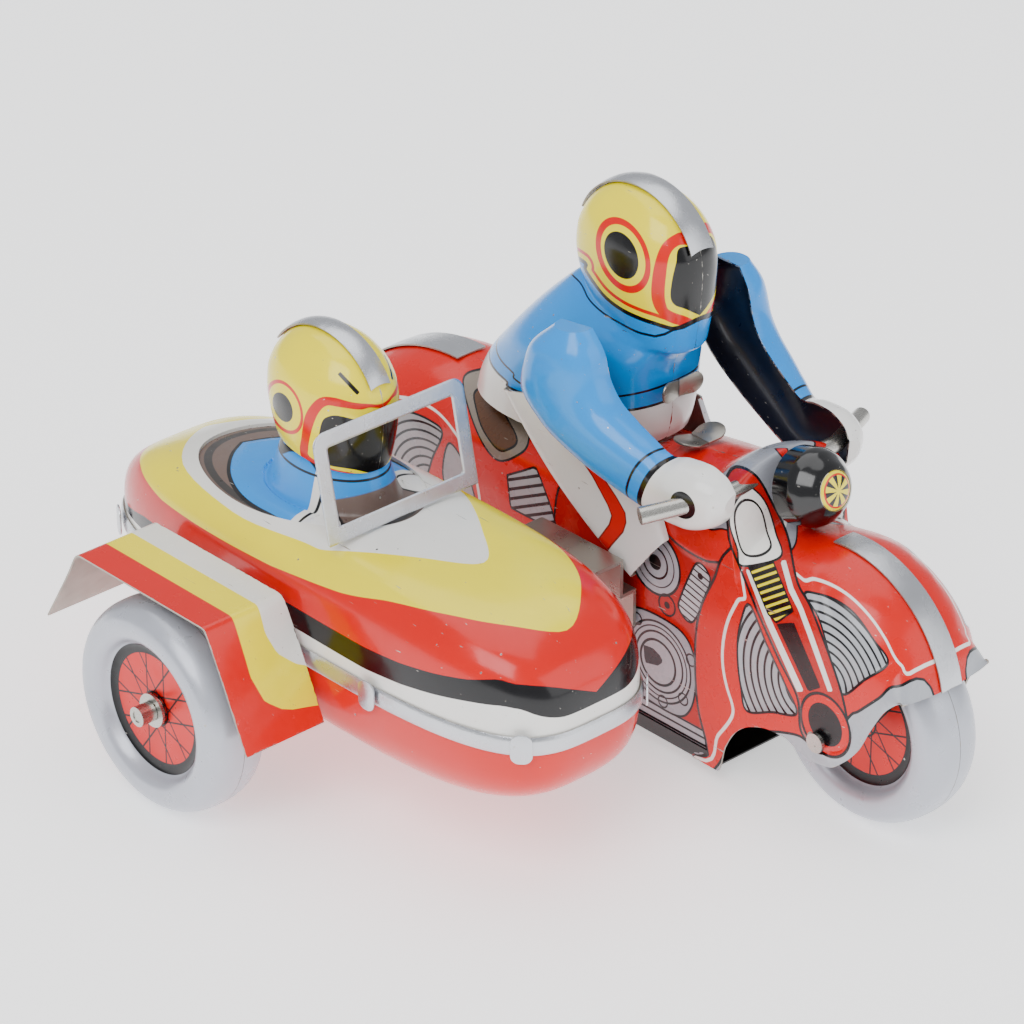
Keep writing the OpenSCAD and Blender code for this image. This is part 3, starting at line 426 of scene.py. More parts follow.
GRIP = [(-20.8, 52.9), (-14.2, 56.8), (-8.4, 48.2), (-12.8, 43.6), (-15.1, 44.6)]
TUBE = [(-12.8, 43.4), (-8.1, 45.7), (-0.3, 34.4), (-3.6, 32)]
STRIPE_L = [(-21.7, 52.1), (-19.9, 52.1), (-14.2, 43.6), (-4.8, 31.6), (-6.6, 30.6), (-15.6, 42.4)]
STRIPE_R = [(-12.2, 57.7), (-9.7, 52), (-7, 49), (-3.9, 43.8), (1.7, 34.3), (2.9, 35), (-2.6, 44.8),
            (-5.8, 50), (-8.6, 53.4), (-10.8, 58.5)]
BAND = [(-26.5, 6.5), (-23, 11), (-20.5, 15.3), (-15, 17.8), (-10, 19.8), (-5, 21), (1, 20),
        (7.3, 31), (10, 33.7), (15, 38.8), (19.6, 43.5), (30, 44), (40, -10), (-28, -10)]
PINSTRIPE = [(-21.8, 47), (-23.5, 44), (-26, 38.5), (-27.2, 33), (-27.2, 28), (-26, 23.5),
             (-24.3, 20), (-24, 18), (-25, 15.5), (-28, 11), (-34, 3), (-70, 10), (-70, 60),
             (-30, 60)]
PINSTRIPE_UP = [(-6.5, 56.3), (-3, 57.6), (2, 58.2), (7, 57.6), (12, 55.5), (16, 52.5),
                (18.5, 49.7), (20.5, 48.6), (24, 49), (40, 70), (0, 90), (-12, 62)]
LOUVRE = [(-5.5, 53.2), (-2, 54.7), (3, 55.4), (8, 54.5), (13, 51), (17, 47.6), (11.1, 41.2),
          (5.2, 35.4), (1.8, 42.4), (-1.5, 49.5)]
LOUVRE_B = [(-20.2, 44.6), (-22.4, 40), (-23.2, 35), (-23, 30), (-22, 25), (-20.2, 20.2),
            (-13.3, 23), (-6.5, 25.7), (-10, 31), (-15.5, 38)]
GRILLE = [(-134, 30), (-133, 38), (-128, 44.5), (-121, 48), (-114, 48.6), (-110.5, 47.2),
          (-113.5, 40.5), (-117, 33), (-125, 31)]
PANEL = [(-108.5, 45.6), (-104, 43), (-101.5, 38.5), (-100.5, 33), (-108, 33), (-110.5, 38)]
PINSTRIPE_R = [(-140, 30), (-137, 40), (-130, 47.5), (-122, 51), (-115, 51.8), (-110, 50.8),
               (-105, 47.5), (-101, 42.5), (-99, 36), (-98.5, 28), (-98, 10), (-140, 10)]
SADDLE = [(-104, 62), (-98, 67), (-92, 70), (-85, 66), (-84, 56), (-87.5, 51), (-94, 47.5),
          (-100, 52)]
SEAT = [(-100.5, 60.5), (-97, 63.5), (-94, 66), (-92.5, 64), (-92, 60), (-87.5, 54.7), (-91, 50.8),
        (-94, 50.2), (-98, 53), (-100, 57)]
BOX = [(-90.6, 45.2), (-86, 48), (-82, 50.6), (-80.5, 48.5), (-77, 42.5), (-75.5, 38.5), (-82, 38),
       (-89.5, 38)]
ENGINE = [(-74, 50), (-60, 52), (-46, 51.2), (-40, 49.6), (-33, 49.2), (-28, 50.6), (-20, 52),
          (-20, -5), (-92, -5), (-92, 20), (-90, 33), (-78, 36)]
CASE = [(-51, 12), (-50, 10.6), (-40, 10.2), (-36, 13.4), (-34.6, 20), (-35.4, 26.5), (-40, 30.6),
        (-52, 30.4), (-56.5, 25), (-55.5, 18)]
CAM = [(-49.8, 22.6), (-47, 23), (-44.6, 22), (-44, 21), (-45.5, 19.5), (-49.3, 18.6)]
EXHAUST = [(-58, 3.6), (-58, 10.4), (-31, 10.4), (-31, 3.6)]
CAPSULE = [(-36.5, 45.2), (-34.5, 48), (-31.8, 46.8), (-31.4, 44), (-34.9, 35.2), (-37.2, 33.4),
           (-39.6, 35), (-39.8, 37)]
TANK_MARK = [(-45, 62), (-42, 63.6), (-38, 63.6), (-35, 62), (-38, 60.4), (-42, 60.4)]
NACELLE = [(-34, 57.5), (-27, 58.5), (-15.8, 58.6), (-10.6, 60), (-8, 66), (-12, 80), (-36, 86),
           (-46, 72)]

OUTLINES = {"skirt": SKIRT, "fork": FORK, "field": FIELD, "window": WINDOW, "band": BAND,
            "pin_a": PINSTRIPE, "pin_b": PINSTRIPE_UP, "louvre_a": LOUVRE, "louvre_b": LOUVRE_B,
            "grille": GRILLE, "panel": PANEL, "pin_c": PINSTRIPE_R, "saddle": SADDLE, "seat": SEAT,
            "engine": ENGINE, "case": CASE, "capsule": CAPSULE, "nacelle": NACELLE}
CORNERED = {"tube": TUBE, "grip": GRIP, "stripe_l": STRIPE_L, "stripe_r": STRIPE_R, "box": BOX,
            "cam": CAM, "exhaust": EXHAUST, "tank_mark": TANK_MARK}
HUB, HUB_R = (1.3, 26.0), 7.6
DRUM, DRUM_R = (-46.8, 43), 7.1
COVER, BOLT, FAN, FAN_PITCH = (-45.1, 20.6), (-43.2, 34.6), (1.2, 36.2), 1.95
FRONT_ARC, FRONT_R = (-7, 31), 26.6
REAR_ARC, REAR_R = (-120.5, 17), 40
print(len(OUTLINES), "rounded and", len(CORNERED), "cornered outlines")


# %% Body shape with its relief
def body_relief(p):
    """How far the side stands out, in mm, at points of the right side."""
    x, z = p[:, 0], p[:, 2]
    skirt, fork, engine, louvre_a, louvre_b, case = (
        inside_distance(rounded(line), x, z) for line in (SKIRT, FORK, ENGINE, LOUVRE, LOUVRE_B, CASE))
    hub = np.hypot(x - HUB[0], z - HUB[1]) - HUB_R
    drum = np.hypot(x - DRUM[0], z - DRUM[1]) - DRUM_R
    louvre = np.minimum(louvre_a, louvre_b)
    sunk = -1.1 * ease(skirt, 0, 1.2) * ease(-engine, -0.5, 2.0) * ease(x, -92, -60)
    raised = 0.55 * ease(-fork, 0, 1.3) + 0.5 * ease(-hub, 0, 1.2) * ease(fork, -0.2, 0.6)
    slots = np.abs((np.hypot(x - FAN[0], z - FAN[1]) - 6.0) % FAN_PITCH - 0.97) - 0.5
    return (sunk + raised - 0.45 * ease(-louvre, 0, 0.8) + 0.35 * ease(-case, 0, 1.0)
            + 0.35 * ease(-drum, 0, 1.0) - 0.15 * ease(-louvre, 0.5, 1.0) * ease(slots, -0.3, 0.3))


def on_circle(centre, r, t):
    """The point at t degrees on a circle in the side plane."""
    return centre[0] + r * math.cos(math.radians(t)), centre[1] + r * math.sin(math.radians(t))


REAR_EDGE = [(-26, 26.5), (-20, 21.5), (-15, 18.5), (-10, 16.5), (-5.5, 15), (-1, 14.5), (3.5, 15),
             (9, 15.5)]
FRONT_EDGE = [(-10, 18.8), (-6, 17.5), (-2, 16.6), (2, 17), (5.5, 19.5), (8.8, 23.5), (11.3, 29),
              (14, 34), (17, 37)]
# Each rib runs from the crown (x, z) down to the edge (x, z), with its depth and the crown's rounding
body_ribs = [(on_circle(REAR_ARC, REAR_R, 158 - 78 * i / 7), (REAR_X + x, z), 16, 13)
             for i, (x, z) in enumerate(REAR_EDGE)]
body_ribs += [((-106, 57), (-102, 8), 16, 10), ((-100, 57.3), (-98, 2.6), 16, 9),
              ((-64, 58.2), (-64, 2.6), 16, 9), ((-56, 61.2), (-52, 2.6), 16, 10),
              ((-38.8, 64.2), (-34, 2.6), 16, 10), ((-34, 68), (-28, 2.6), 16, 9),
              ((-28, 70), (-26, 9), 16, 8), ((-26, 63), (-23, 14), 16, 8),
              ((-25, 56), (-19, 17), 16, 10), ((-19.5, 56), (-14, 18.6), 16, 13)]
body_ribs += [(on_circle(FRONT_ARC, FRONT_R, 100 - 11 * i), edge, 16 - 4 * (i / 8) ** 2, 13)
              for i, edge in enumerate(FRONT_EDGE)]
print(len(body_ribs), "ribs in the body shell")


def body_art(p):
    """The printed distances of the motorcycle's side. The left side mirrors the right."""
    right = np.stack([p[:, 0], -np.abs(p[:, 1]), p[:, 2]], 1)
    x, z = flat(right, -BODY_HALF)
    fields = {"flat_x": x, "flat_z": z}
    for key, line in OUTLINES.items():
        fields[key] = inside_distance(rounded(line), x, z)
    # The lamp's housing ends here, although the tank behind it lies in the same line of sight
    fields["nacelle"] = np.maximum(fields["nacelle"], -35.5 - p[:, 0])
    for key, line in CORNERED.items():
        fields[key] = inside_distance(np.array(line, float), x, z)
    return fields


# %% Body print
BLACK, WHITE, RED, YELLOW, BLUE = "#0E0D10", "#F1EFEA", "#D60A02", "#F7E400", "#008EE6"
PALE, STEEL_INK = "#A5A7AC", "#A9ACB3"


def edged(field, colour, line, within=None, pattern=None):
    """A filled area, the pattern inside it if there is one, and its black edge."""
    middle = [(*pattern, field)] if pattern else []
    return [(field, "fill", 0, colour, within), *middle, (field, "line", line, BLACK, within)]


def circles(centre, disc, colour, *rings):
    """A filled disc with black rings (radius, width) round the same centre."""
    return [(centre, "disc", disc, colour, None)] + [(centre, "ring", ring, BLACK, None) for ring in rings]


body_layers = [
    *edged("engine", "#B80C04", 0.6), *edged("saddle", "#84796F", 0.5), *edged("seat", "#5A3A26", 0.5),
    *edged("box", PALE, 0.5, pattern=((0, 0, -0.47), "bars", (0.3, 2.0, 0.7), BLACK)),
    *edged("grille", PALE, 0.55, pattern=((-114, 31), "rings", (6.8, 1.95, 0.55), BLACK)),
    *edged("panel", PALE, 0.5), ("pin_c", "line", 0.75, WHITE, None),
    ("exhaust", "fill", 0, STEEL_INK, "engine"),
    ((0, 0, 0), "bars", (5.2, 1.65, 0.5), BLACK, "exhaust"),
    *edged("case", "#9B9EA6", 0.5, "engine"),
    *circles(COVER, 9.0, STEEL_INK, (9.0, 0.5), (7.9, 0.35), (6.7, 0.5)),
    ((-45.5, 20.3), "ring", (5.0, 0.6), BLACK, None), ("cam", "fill", 0, "#2B2B30", None),
    *circles(DRUM, DRUM_R, STEEL_INK, (7.1, 0.6), (3.5, 0.5), (5.4, 0.3)),
    (DRUM, "disc", 1.7, BLACK, None),
    (BOLT, "ring", (2.3, 0.5), BLACK, None), (BOLT, "disc", 0.8, BLACK, None),
    *edged("capsule", "#C4C6CB", 0.5), ((-34, 45.1), "disc", 0.75, BLACK, None),
    ((0, 0, 0.25), "bars", (-0.3, 1.5, 0.4), BLACK, "capsule"),
]
body_layers += [(screw, "ring", (1.3, 0.4), BLACK, None) for screw in (
    (-51.7, 27.9), (-54.4, 23.5), (-36.1, 24.9), (-38.1, 14.9), (-49.7, 11.5), (-43.9, 11.8))]
body_layers += [
    *edged("skirt", RED, 0.65), *edged("nacelle", "#9497A0", 0.4), *edged("tank_mark", YELLOW, 0.7),
    ("pin_a", "line", 0.75, WHITE, "skirt"), ("pin_b", "line", 0.75, WHITE, None),
    *edged("louvre_a", PALE, 0.55, pattern=(FAN, "rings", (7.2, FAN_PITCH, 0.6), BLACK)),
    *edged("louvre_b", PALE, 0.55, pattern=((-4.9, 32), "rings", (6.9, 1.93, 0.6), BLACK)),
    *edged("band", STEEL_INK, 0.6), *edged("fork", "#B90A04", 0.7), *edged("field", WHITE, 0.5),
    ("window", "line", 0.55, BLACK, None), ("stripe_l", "fill", 0, WHITE, None),
    ("stripe_r", "fill", 0, WHITE, None), ("tube", "fill", 0, BLACK, None),
    *edged("grip", BLACK, 0.45, pattern=((0, 0, -0.62), "bars", (0.1, 1.45, 0.55), YELLOW)),
    ((1.3, 26.6), "disc", 7.0, BLACK, None), ((1.3, 26.6), "ring", (5.4, 1.8), RED, None),
    ((1.0, 26.8), "disc", 4.4, BLACK, None), ((-2, 22), "disc", 1.5, "#8B8880", None),
]
print(len(body_layers), "layers of ink on the body")

# %% Body shells
# Varnished red ink: a soft even gloss, with silver showing at specks and rims
red_tin = tinplate("red lithographed tinplate", RED, body_layers)
for side, name in ((-1, "right"), (1, "left")):
    shell = press(f"body_{name}_sheet", gutter(body_ribs, side, relief=body_relief), red_tin,
                  inside=(-60, 0, 30), art=body_art)
    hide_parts(f"body_{name}_shell")

# %% [markdown]
# ## Strips over the seams
# A thin bright strip is bent over each crown, where the two shells meet.

# %% Crown strips and helmet strips
# Rolled and tinned: bright, with fine streaks along the sheet
silver = tinplate("bright tinplate strip", "#C9CBD0", gloss=0.24, metal=0.85, coat=0.0, wear=0.5,
                  grain=0.35)
STRIP_LIFT, HELMET_LIFT = 0.45, 0.85
P_LENGTH, P_WIDTH, P_HEIGHT = 15.2, 10.8, 13.2
R_LENGTH, R_WIDTH, R_HEIGHT = 15.9, 10.4, 14.3


def crown_strip(name, line, width, node, y=0.0, sag=0.12):
    """A strip of the given width along a line (x, z), bent down by sag at its edges."""
    line = smooth_rows(line, 80)
    across = np.linspace(-1, 1, 9)
    points = np.stack([np.stack([line[:, 0], np.full(80, y + width / 2 * v), line[:, 1] - sag * v * v], 1)
                       for v in across], 1)
    piece = press(name, points, silver, wall=0.35, inside=(*line.mean(0)[:1], y, line[:, 1].mean() - 12))
    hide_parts(node)


for name, arc, r, first, sweep, width in (("front", FRONT_ARC, FRONT_R, 98, 86, 5.6),
                                          ("rear", REAR_ARC, REAR_R, 136, 48, 8)):
    line = [on_circle(arc, r + STRIP_LIFT, first - sweep * i / 16) for i in range(17)]
    crown_strip(f"{name}_strip", line, width, f"{name}_fender_strip")
PASS_X, PASS_Z = -95, RIM_Z + DECK_H + 21
RIDER_X, RIDER_Z = -67.0, SADDLE_Z + 43.2
for name, cx, cz, l, h, width, first, last, y in (
        ("passenger", PASS_X, PASS_Z, P_LENGTH, P_HEIGHT, 5, 25, 150, BOAT_Y),
        ("rider", RIDER_X, RIDER_Z, R_LENGTH, R_HEIGHT, 6, 20, 160, 0)):
    line = [(cx + (l + HELMET_LIFT) * math.cos(math.radians(t)),
             cz + (h + HELMET_LIFT) * math.sin(math.radians(t))) for t in np.linspace(first, last, 25)]
    crown_strip(f"{name}_strip", line, width, f"{name}_helmet_strip", y, 0.55)

# %% [markdown]
# ## Wheels
# Each wheel is two dished discs rolled together at the tread, so there is a fine seam round the
# middle. Round the centre the print shows a black ring and a red disc with fine straight spokes that
# cross. Each spoke is tangent to a small circle round the axle.

# %% Wheel pressing and print
def lathe(profile, cx, y, cz, side, steps=216):
    """A profile of (radius, outward) points turned round the Y axis."""
    p = smooth_rows(profile, 60)
    t = np.linspace(0, 2 * math.pi, steps + 1)
    return np.stack([cx + p[:, 0][:, None] * np.cos(t), y + side * (p[:, 1][:, None] + 0 * t),
                     cz + p[:, 0][:, None] * np.sin(t)], 2)


# From the hub's hole out over the tyre to the seam: radius and distance from the seam
WHEEL = [(2.6, 4.05), (6, 4.05), (9.6, 4.05), (12.4, 4.1), (13.6, 4.4), (14.3, 5.0), (15.2, 6.3),
         (16.5, 7.2), (18, 7.45), (19.6, 7.1), (21, 5.9), (21.9, 4.2), (22.35, 2.2), (22.45, 0.5),
         (22.45, 0.05)]
# The sine crosses zero twice a turn, so this makes ten spokes that lean each way
SPOKES, SPOKE_R = 5, 2.6
DISC_R, RING_R, HUB_RING_R = 11.8, 13.9, 3.6


def wheel_art(cx):
    """The printed distances of a wheel whose axle is at x = cx."""
    def art(p):
        x, z = p[:, 0] - cx, p[:, 2] - WHEEL_R
        r = np.hypot(x, z)
        a = np.arctan2(z, x)
        fields = {"r_disc": r - DISC_R, "r_ring": r - RING_R, "r_hub": r - HUB_RING_R}
        for k, way in (("spoke_a", 1), ("spoke_b", -1)):
            lean = way * np.arccos(np.clip(SPOKE_R / np.maximum(r, SPOKE_R), 0, 1))
            fields[k] = np.sin((a - lean) * SPOKES) * np.maximum(r, 1) / SPOKES
        return fields
    return art


# The tyre is aluminium paint over the sheet: a grey that glints only a little
wheel_tin = tinplate("wheel tinplate", "#B9BCC6", [
    ("r_ring", "fill", 0, BLACK, None), ("r_disc", "fill", 0, RED, None),
    ("spoke_a", "line", 0.42, BLACK, "r_disc"), ("spoke_b", "line", 0.42, BLACK, "r_disc"),
    ("r_hub", "line", 0.5, BLACK, None)], gloss=0.3, metal=0.35, coat=0.2, grain=0.1)
for body, cx, cy, sides in (("front_wheel", 0, 0, ("right", "left")),
                            ("rear_wheel", REAR_X, 0, ("right", "left")),
                            ("sidecar_wheel", SIDE_X, SIDE_Y, ("outer", "inner"))):
    for side, name in zip((-1, 1), sides):
        half = press(f"{body}_{name}", lathe(WHEEL, cx, cy, WHEEL_R, side), wheel_tin, body=body,
                     inside=(cx, cy - side * 3, WHEEL_R), art=wheel_art(cx))
        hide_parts(f"{body}_{name}_half")

# %% [markdown]
# ## Headlamp
# A black spun cup with a small domed yellow lens. It is turned from its profile and tilted upwards.

# %% Lamp
LAMP_R = 8
LAMP_X, LAMP_Z, TILT = -22.5, SADDLE_Z - 0.6 + LAMP_R, math.radians(15)


def lamp(profile, steps=96):
    """A profile of (radius, forward) points turned round the lamp's tilted axis."""
    p = smooth_rows(profile, 40)
    t = np.linspace(0, 2 * math.pi, steps + 1)
    u, v = p[:, 0][:, None] * np.cos(t), p[:, 0][:, None] * np.sin(t)
    w = p[:, 1][:, None] + 0 * t
    return np.stack([LAMP_X + w * math.cos(TILT) - v * math.sin(TILT), u,
                     LAMP_Z + w * math.sin(TILT) + v * math.cos(TILT)], 2)


def lens_art(p):
    """Eight petals and a ring on the lens."""
    q = p - [LAMP_X, 0, LAMP_Z]
    u, v = q[:, 1], q[:, 2] * math.cos(TILT) - q[:, 0] * math.sin(TILT)
    r, a = np.hypot(u, v), np.arctan2(v, u)
    return {"petal": np.abs(np.sin(4 * a)) * r - 0.8 * (r - 0.5), "lens_in": r - 3.3}


# Stoved black enamel is glassy, with sharp highlights
black_enamel = tinplate("black enamelled tinplate", "#0D0D0F", gloss=0.16, coat=0.6, wear=0.7)
# The lens is printed tin under thick varnish, not glass
lens_tin = tinplate("yellow lithographed lens", YELLOW, [
    ("petal", "fill", 0, BLACK, "lens_in"), ("lens_in", "line", 0.35, RED, None)], gloss=0.2, coat=0.6)
cup_profile = [(LAMP_R, 0), (LAMP_R, 2), (LAMP_R, 4), (7.5, 5.8), (6.4, 7.4), (5.2, 8.8), (4.2, 9.5)]
cup = press("headlamp_cup", lamp(cup_profile), black_enamel, inside=(LAMP_X, 0, LAMP_Z))
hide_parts("headlamp_shell")
lens = press("headlamp_glass", lamp([(4.0, 9.4), (3.6, 9.75), (2.6, 10.1), (1.2, 10.35), (0.0, 10.4)]),
             lens_tin, inside=(LAMP_X - 3, 0, LAMP_Z - 1), art=lens_art, wall=0.3)
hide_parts("headlamp_lens")

# %% [markdown]
# ## Sidecar shells
# The upper shell is printed in bands that follow the rim: white deck, yellow, red, black and a thin
# white stripe. It is pressed over rays that run from the cockpit to the rim. The tub is plain red, and
# its ribs run across the boat.

# %% Boat shapes
def blunt(u, power):
    """A superellipse's height at u, from 1 in the middle to 0 at either end."""
    return (1 - np.minimum(np.abs(u), 1) ** power) ** (1 / power)


NOSE_POWER, STERN_POWER, DECK_POWER = 3.4, 2.8, 4


def boat(t):
    """Station angle to its x and its share of the full width, from -90 at the stern to 90."""
    s = np.sin(np.radians(t))
    return (BOAT_X + np.where(t > 0, BOAT_FRONT, BOAT_REAR) * s,
            np.where(t > 0, blunt(s, NOSE_POWER), blunt(s, STERN_POWER)))


def station(x):
    """Distance from the widest place as a share, and the share of the full width there."""
    s = (x - BOAT_X) / np.where(x > BOAT_X, BOAT_FRONT, BOAT_REAR)
    return s, np.where(x > BOAT_X, blunt(s, NOSE_POWER), blunt(s, STERN_POWER))


def boat_height(x, y):
    """Height of the deck over the rim."""
    g = station(x)[1]
    return DECK_H * g * blunt((y - BOAT_Y) / (BOAT_HALF * g + 1e-6), DECK_POWER)


def ray_grid(inner_l, inner_w, inner_x, spokes=360, rows=64):
    """Deck points on rays from an ellipse round the cockpit out to the rim, found by halving."""
    angle = np.linspace(0, 2 * math.pi, spokes + 1)
    ix = inner_x + inner_l * np.cos(angle)
    iy = inner_w * np.sin(angle)
    # The rays fan out more along the boat than across it, and 160 mm reaches past the rim
    dx, dy = np.cos(angle) * 1.35, np.sin(angle)
    low, high = np.zeros(spokes + 1), np.full(spokes + 1, 160.0)
    for _ in range(40):
        mid = (low + high) / 2
        x, y = ix + dx * mid, iy + dy * mid
        s, g = station(x)
        inside = (np.abs(s) < 1) & (np.abs(y) < BOAT_HALF * g)
        low, high = np.where(inside, mid, low), np.where(inside, high, mid)
    # Rows lie closer near the rim, where the deck drops steeply
    share = 1 - (1 - np.linspace(0, 1, rows)[:, None] ** 0.8) ** 1.9
    x, y = ix + dx * low * share, iy + dy * low * share
    return x, y + BOAT_Y


print("boat is", BOAT_FRONT + BOAT_REAR, "mm long at the rim")


# %% Boat print and shells
ZONE_WHITE = [(-50.8, 0.1), (-60.6, 8.4), (-75.4, 17), (-83.1, 18.4), (-92.6, 19.4), (-103.5, 19.4),
              (-115.4, 17.8), (-125.7, 14.1), (-135.7, 5.5), (-138, 0), (-125.7, -14.1),
              (-103.5, -19.4), (-83.1, -18.4), (-75.4, -17), (-60.6, -8.4)]
ZONE_YELLOW = [(-27.1, 0), (-34.3, 10.4), (-44, 16.2), (-55.5, 19.6), (-68, 21.6), (-90, 22.6),
               (-130, 20), (-150, 0), (-130, -20), (-90, -22.6), (-55.5, -19.6), (-34.3, -10.4)]

# Along the side, the lower edge of the yellow and the upper edges of the black and white: x and height
YELLOW_EDGE = [(-152, 49.2), (-138.3, 49.4), (-125.4, 48.7), (-116.5, 49), (-100.1, 49.5),
               (-88, 50), (-75.4, 51.2), (-68, 52), (-55.5, 53.8), (-44, 54.9), (-34.3, 54.6),
               (-27.1, 52.3), (-26, 60)]
BLACK_EDGE = [(-152, 38.8), (-141, 39.7), (-131.9, 42.1), (-109.7, 44.7), (-83.7, 44.6),
              (-59, 44.3), (-49.6, 44.8), (-40.9, 45.8), (-33.2, 47), (-26.8, 48.6), (-24.1, 49),
              (-22.7, 48), (-20.5, 45.5), (-19.2, 42.5)]
WHITE_EDGE = [(-152, 37.6), (-141, 38), (-120, 39.6), (-82, 40), (-59, 39.6), (-49, 40.3),
              (-41, 41.3), (-33, 42.5), (-26, 43.3), (-23, 42.9), (-19, 40.2)]
# Across the nose the black band follows the distance from the middle instead
NOSE_EDGE = [(0, 42.5), (4.6, 44.6), (8.5, 46.2), (11, 47), (14, 47.6), (16.5, 47.8)]


def boat_art(p):
    """The printed distances of the sidecar's upper shell."""
    x, y, z = p[:, 0], p[:, 1] - BOAT_Y, p[:, 2]
    yellow, black, white = (np.interp(x, *zip(*edge)) for edge in (YELLOW_EDGE, BLACK_EDGE, WHITE_EDGE))
    plan = inside_distance(rounded(ZONE_YELLOW), x, np.abs(y))
    ahead = ease(x, -70, -56)
    nose = np.interp(np.abs(y), *zip(*NOSE_EDGE))
    black = black + (nose - black) * ease(x, -29, -25)
    return {"zone_white": inside_distance(rounded(ZONE_WHITE), x, y),
            "zone_yellow": (yellow - z) * (1 - ahead) + plan * ahead,
            "zone_black": z - black, "zone_stripe": z - white}


# Glossier than the body's print, so the bands carry long reflections
boat_tin = tinplate("banded lithographed tinplate", RED, [
    ("zone_yellow", "fill", 0, YELLOW, None), ("zone_white", "fill", 0, "#E8E6E0", None),
    ("zone_black", "fill", 0, BLACK, None), ("zone_stripe", "fill", 0, WHITE, None)], gloss=0.2, coat=0.25)
deck_x, deck_y = ray_grid(COCKPIT_HALF_L, COCKPIT_HALF_W, COCKPIT_X)
deck_z = RIM_Z + boat_height(deck_x, deck_y)
deck = np.stack([deck_x, deck_y, deck_z], 2)
# The cockpit's lip is rolled down for the last millimetre
lip = deck[0] + (0, 0, -1.0)
top = press("sidecar_top", np.concatenate([lip[None], deck]), boat_tin, inside=(-80, BOAT_Y, RIM_Z + 4),
            art=boat_art)
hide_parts("sidecar_top_shell")

t = np.linspace(-89, 89, 181)
bx, share = boat(t)
v = np.linspace(0, math.pi, 81)
across, sunk = np.sign(np.cos(v)) * np.abs(np.cos(v)) ** (2 / 3), np.abs(np.sin(v)) ** (2 / 3)
tub_points = np.stack([bx[:, None] + 0 * v, BOAT_Y + BOAT_HALF * share[:, None] * across,
                       RIM_Z - TUB_H * share[:, None] * sunk], 2)
# Plain red enamel, smooth and rather glossy
tub_tin = tinplate("red enamelled tinplate", "#DB1206", gloss=0.17, coat=0.25)
tub = press("sidecar_pan", tub_points, tub_tin, inside=(-80, BOAT_Y, RIM_Z))
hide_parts("sidecar_tub")

# %% [markdown]
# ## Rim band and clips
# A rolled silver band covers the joint between the shells. Eight small tabs with rounded ends hold it.

# %% Band and clips
t = np.r_[np.linspace(-90, 90, 200), np.linspace(90, -90, 200)]
way = np.r_[np.full(200, -1.0), np.full(200, 1.0)]
bx, share = boat(t)
v = np.linspace(-1, 1, 9)
swell = 0.35 + 0.42 * np.sqrt(np.clip(1 - v**2, 0, 1))
nx = np.where(t > 0, BOAT_FRONT, BOAT_REAR)
rim_points = np.stack([
    BOAT_X + (nx[:, None] + swell) * np.sin(np.radians(t))[:, None],
    BOAT_Y + way[:, None] * (BOAT_HALF + swell) * share[:, None],
    RIM_Z + 2 * v + 0 * t[:, None]], 2)
band = press("rim_roll", rim_points, silver, inside=(-80, BOAT_Y, RIM_Z), wall=0.3)
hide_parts("rim_band")


def plate(name, outline, place, material, thick=0.5, bevel=0.15, segments=2):
    """A flat outline (u, w) laid in the layout by place(u, w) and thickened, with its edges eased."""
    deselect()
    bpy.ops.mesh.primitive_circle_add(vertices=len(outline), radius=1, fill_type="NGON")
    piece = bpy.context.object
    piece.name = piece.data.name = name
    for vertex, (u, w) in zip(piece.data.vertices, outline):
        vertex.co = metres(place(u, w))
    sheet = piece.modifiers.new("sheet", "SOLIDIFY")
    sheet.thickness = thick * MM
    sheet.offset = 0
    bpy.ops.object.modifier_apply(modifier=sheet.name)
    soft = piece.modifiers.new("soft", "BEVEL")
    soft.width = bevel * MM
    soft.segments = segments
    bpy.ops.object.modifier_apply(modifier=soft.name)
    bpy.ops.object.mode_set(mode="EDIT")
    bpy.ops.mesh.select_all(action="SELECT")
    bpy.ops.mesh.normals_make_consistent(inside=False)
    bpy.ops.object.mode_set(mode="OBJECT")
    bpy.ops.object.shade_smooth_by_angle(angle=math.radians(40))
    piece.data.materials.append(material)
    return piece


def join(name, pieces, node):
    """The pieces as one, riding on the toy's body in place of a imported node."""
    deselect()
    for piece in pieces:
        piece.select_set(True)
    bpy.context.view_layer.objects.active = pieces[0]
    bpy.ops.object.join()
    whole = bpy.context.object
    whole.name = whole.data.name = name
    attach(whole, "toy_body")
    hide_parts(node)
    print(name, len(whole.data.polygons), "faces")


def pill(half_u, half_v, corners=10):
    """A rounded slot outline."""
    r = min(half_u, half_v) * 0.85
    turn = np.linspace(0, 2 * math.pi, 4 * corners, endpoint=False) + math.pi / 4 / corners
    return [(math.copysign(half_u - r, math.cos(a)) + r * math.cos(a),
             math.copysign(half_v - r, math.sin(a)) + r * math.sin(a)) for a in turn]


tabs = []
for side in (-1, 1):
    for angle in (-62, -18, 22, 68):
        (x0, x1), (s0, s1) = boat(np.array([angle, angle + 1.0]))
        along = np.array([x1 - x0, side * BOAT_HALF * (s1 - s0)])
        along = along / np.linalg.norm(along)
        out = np.array([along[1], -along[0]]) * (1 if side < 0 else -1)
        spot = np.array([x0, BOAT_Y + side * BOAT_HALF * s0]) + out * 1.45

        def on_rim(u, w, spot=spot, along=along):
            return (*(spot + along * u), RIM_Z + w)
        tabs.append(plate("tab", pill(2.2, 3.2), on_rim, silver, thick=0.45))
join("rim_tabs", tabs, "rim_clips")

# %% [markdown]
# ## Cockpit, windshield and fender
# The brown cockpit floor is pressed up into the passenger's shoulders, with printed blue sleeves and
# white gloves. The windshield is a bright flat frame, and the fender one folded, printed sheet.

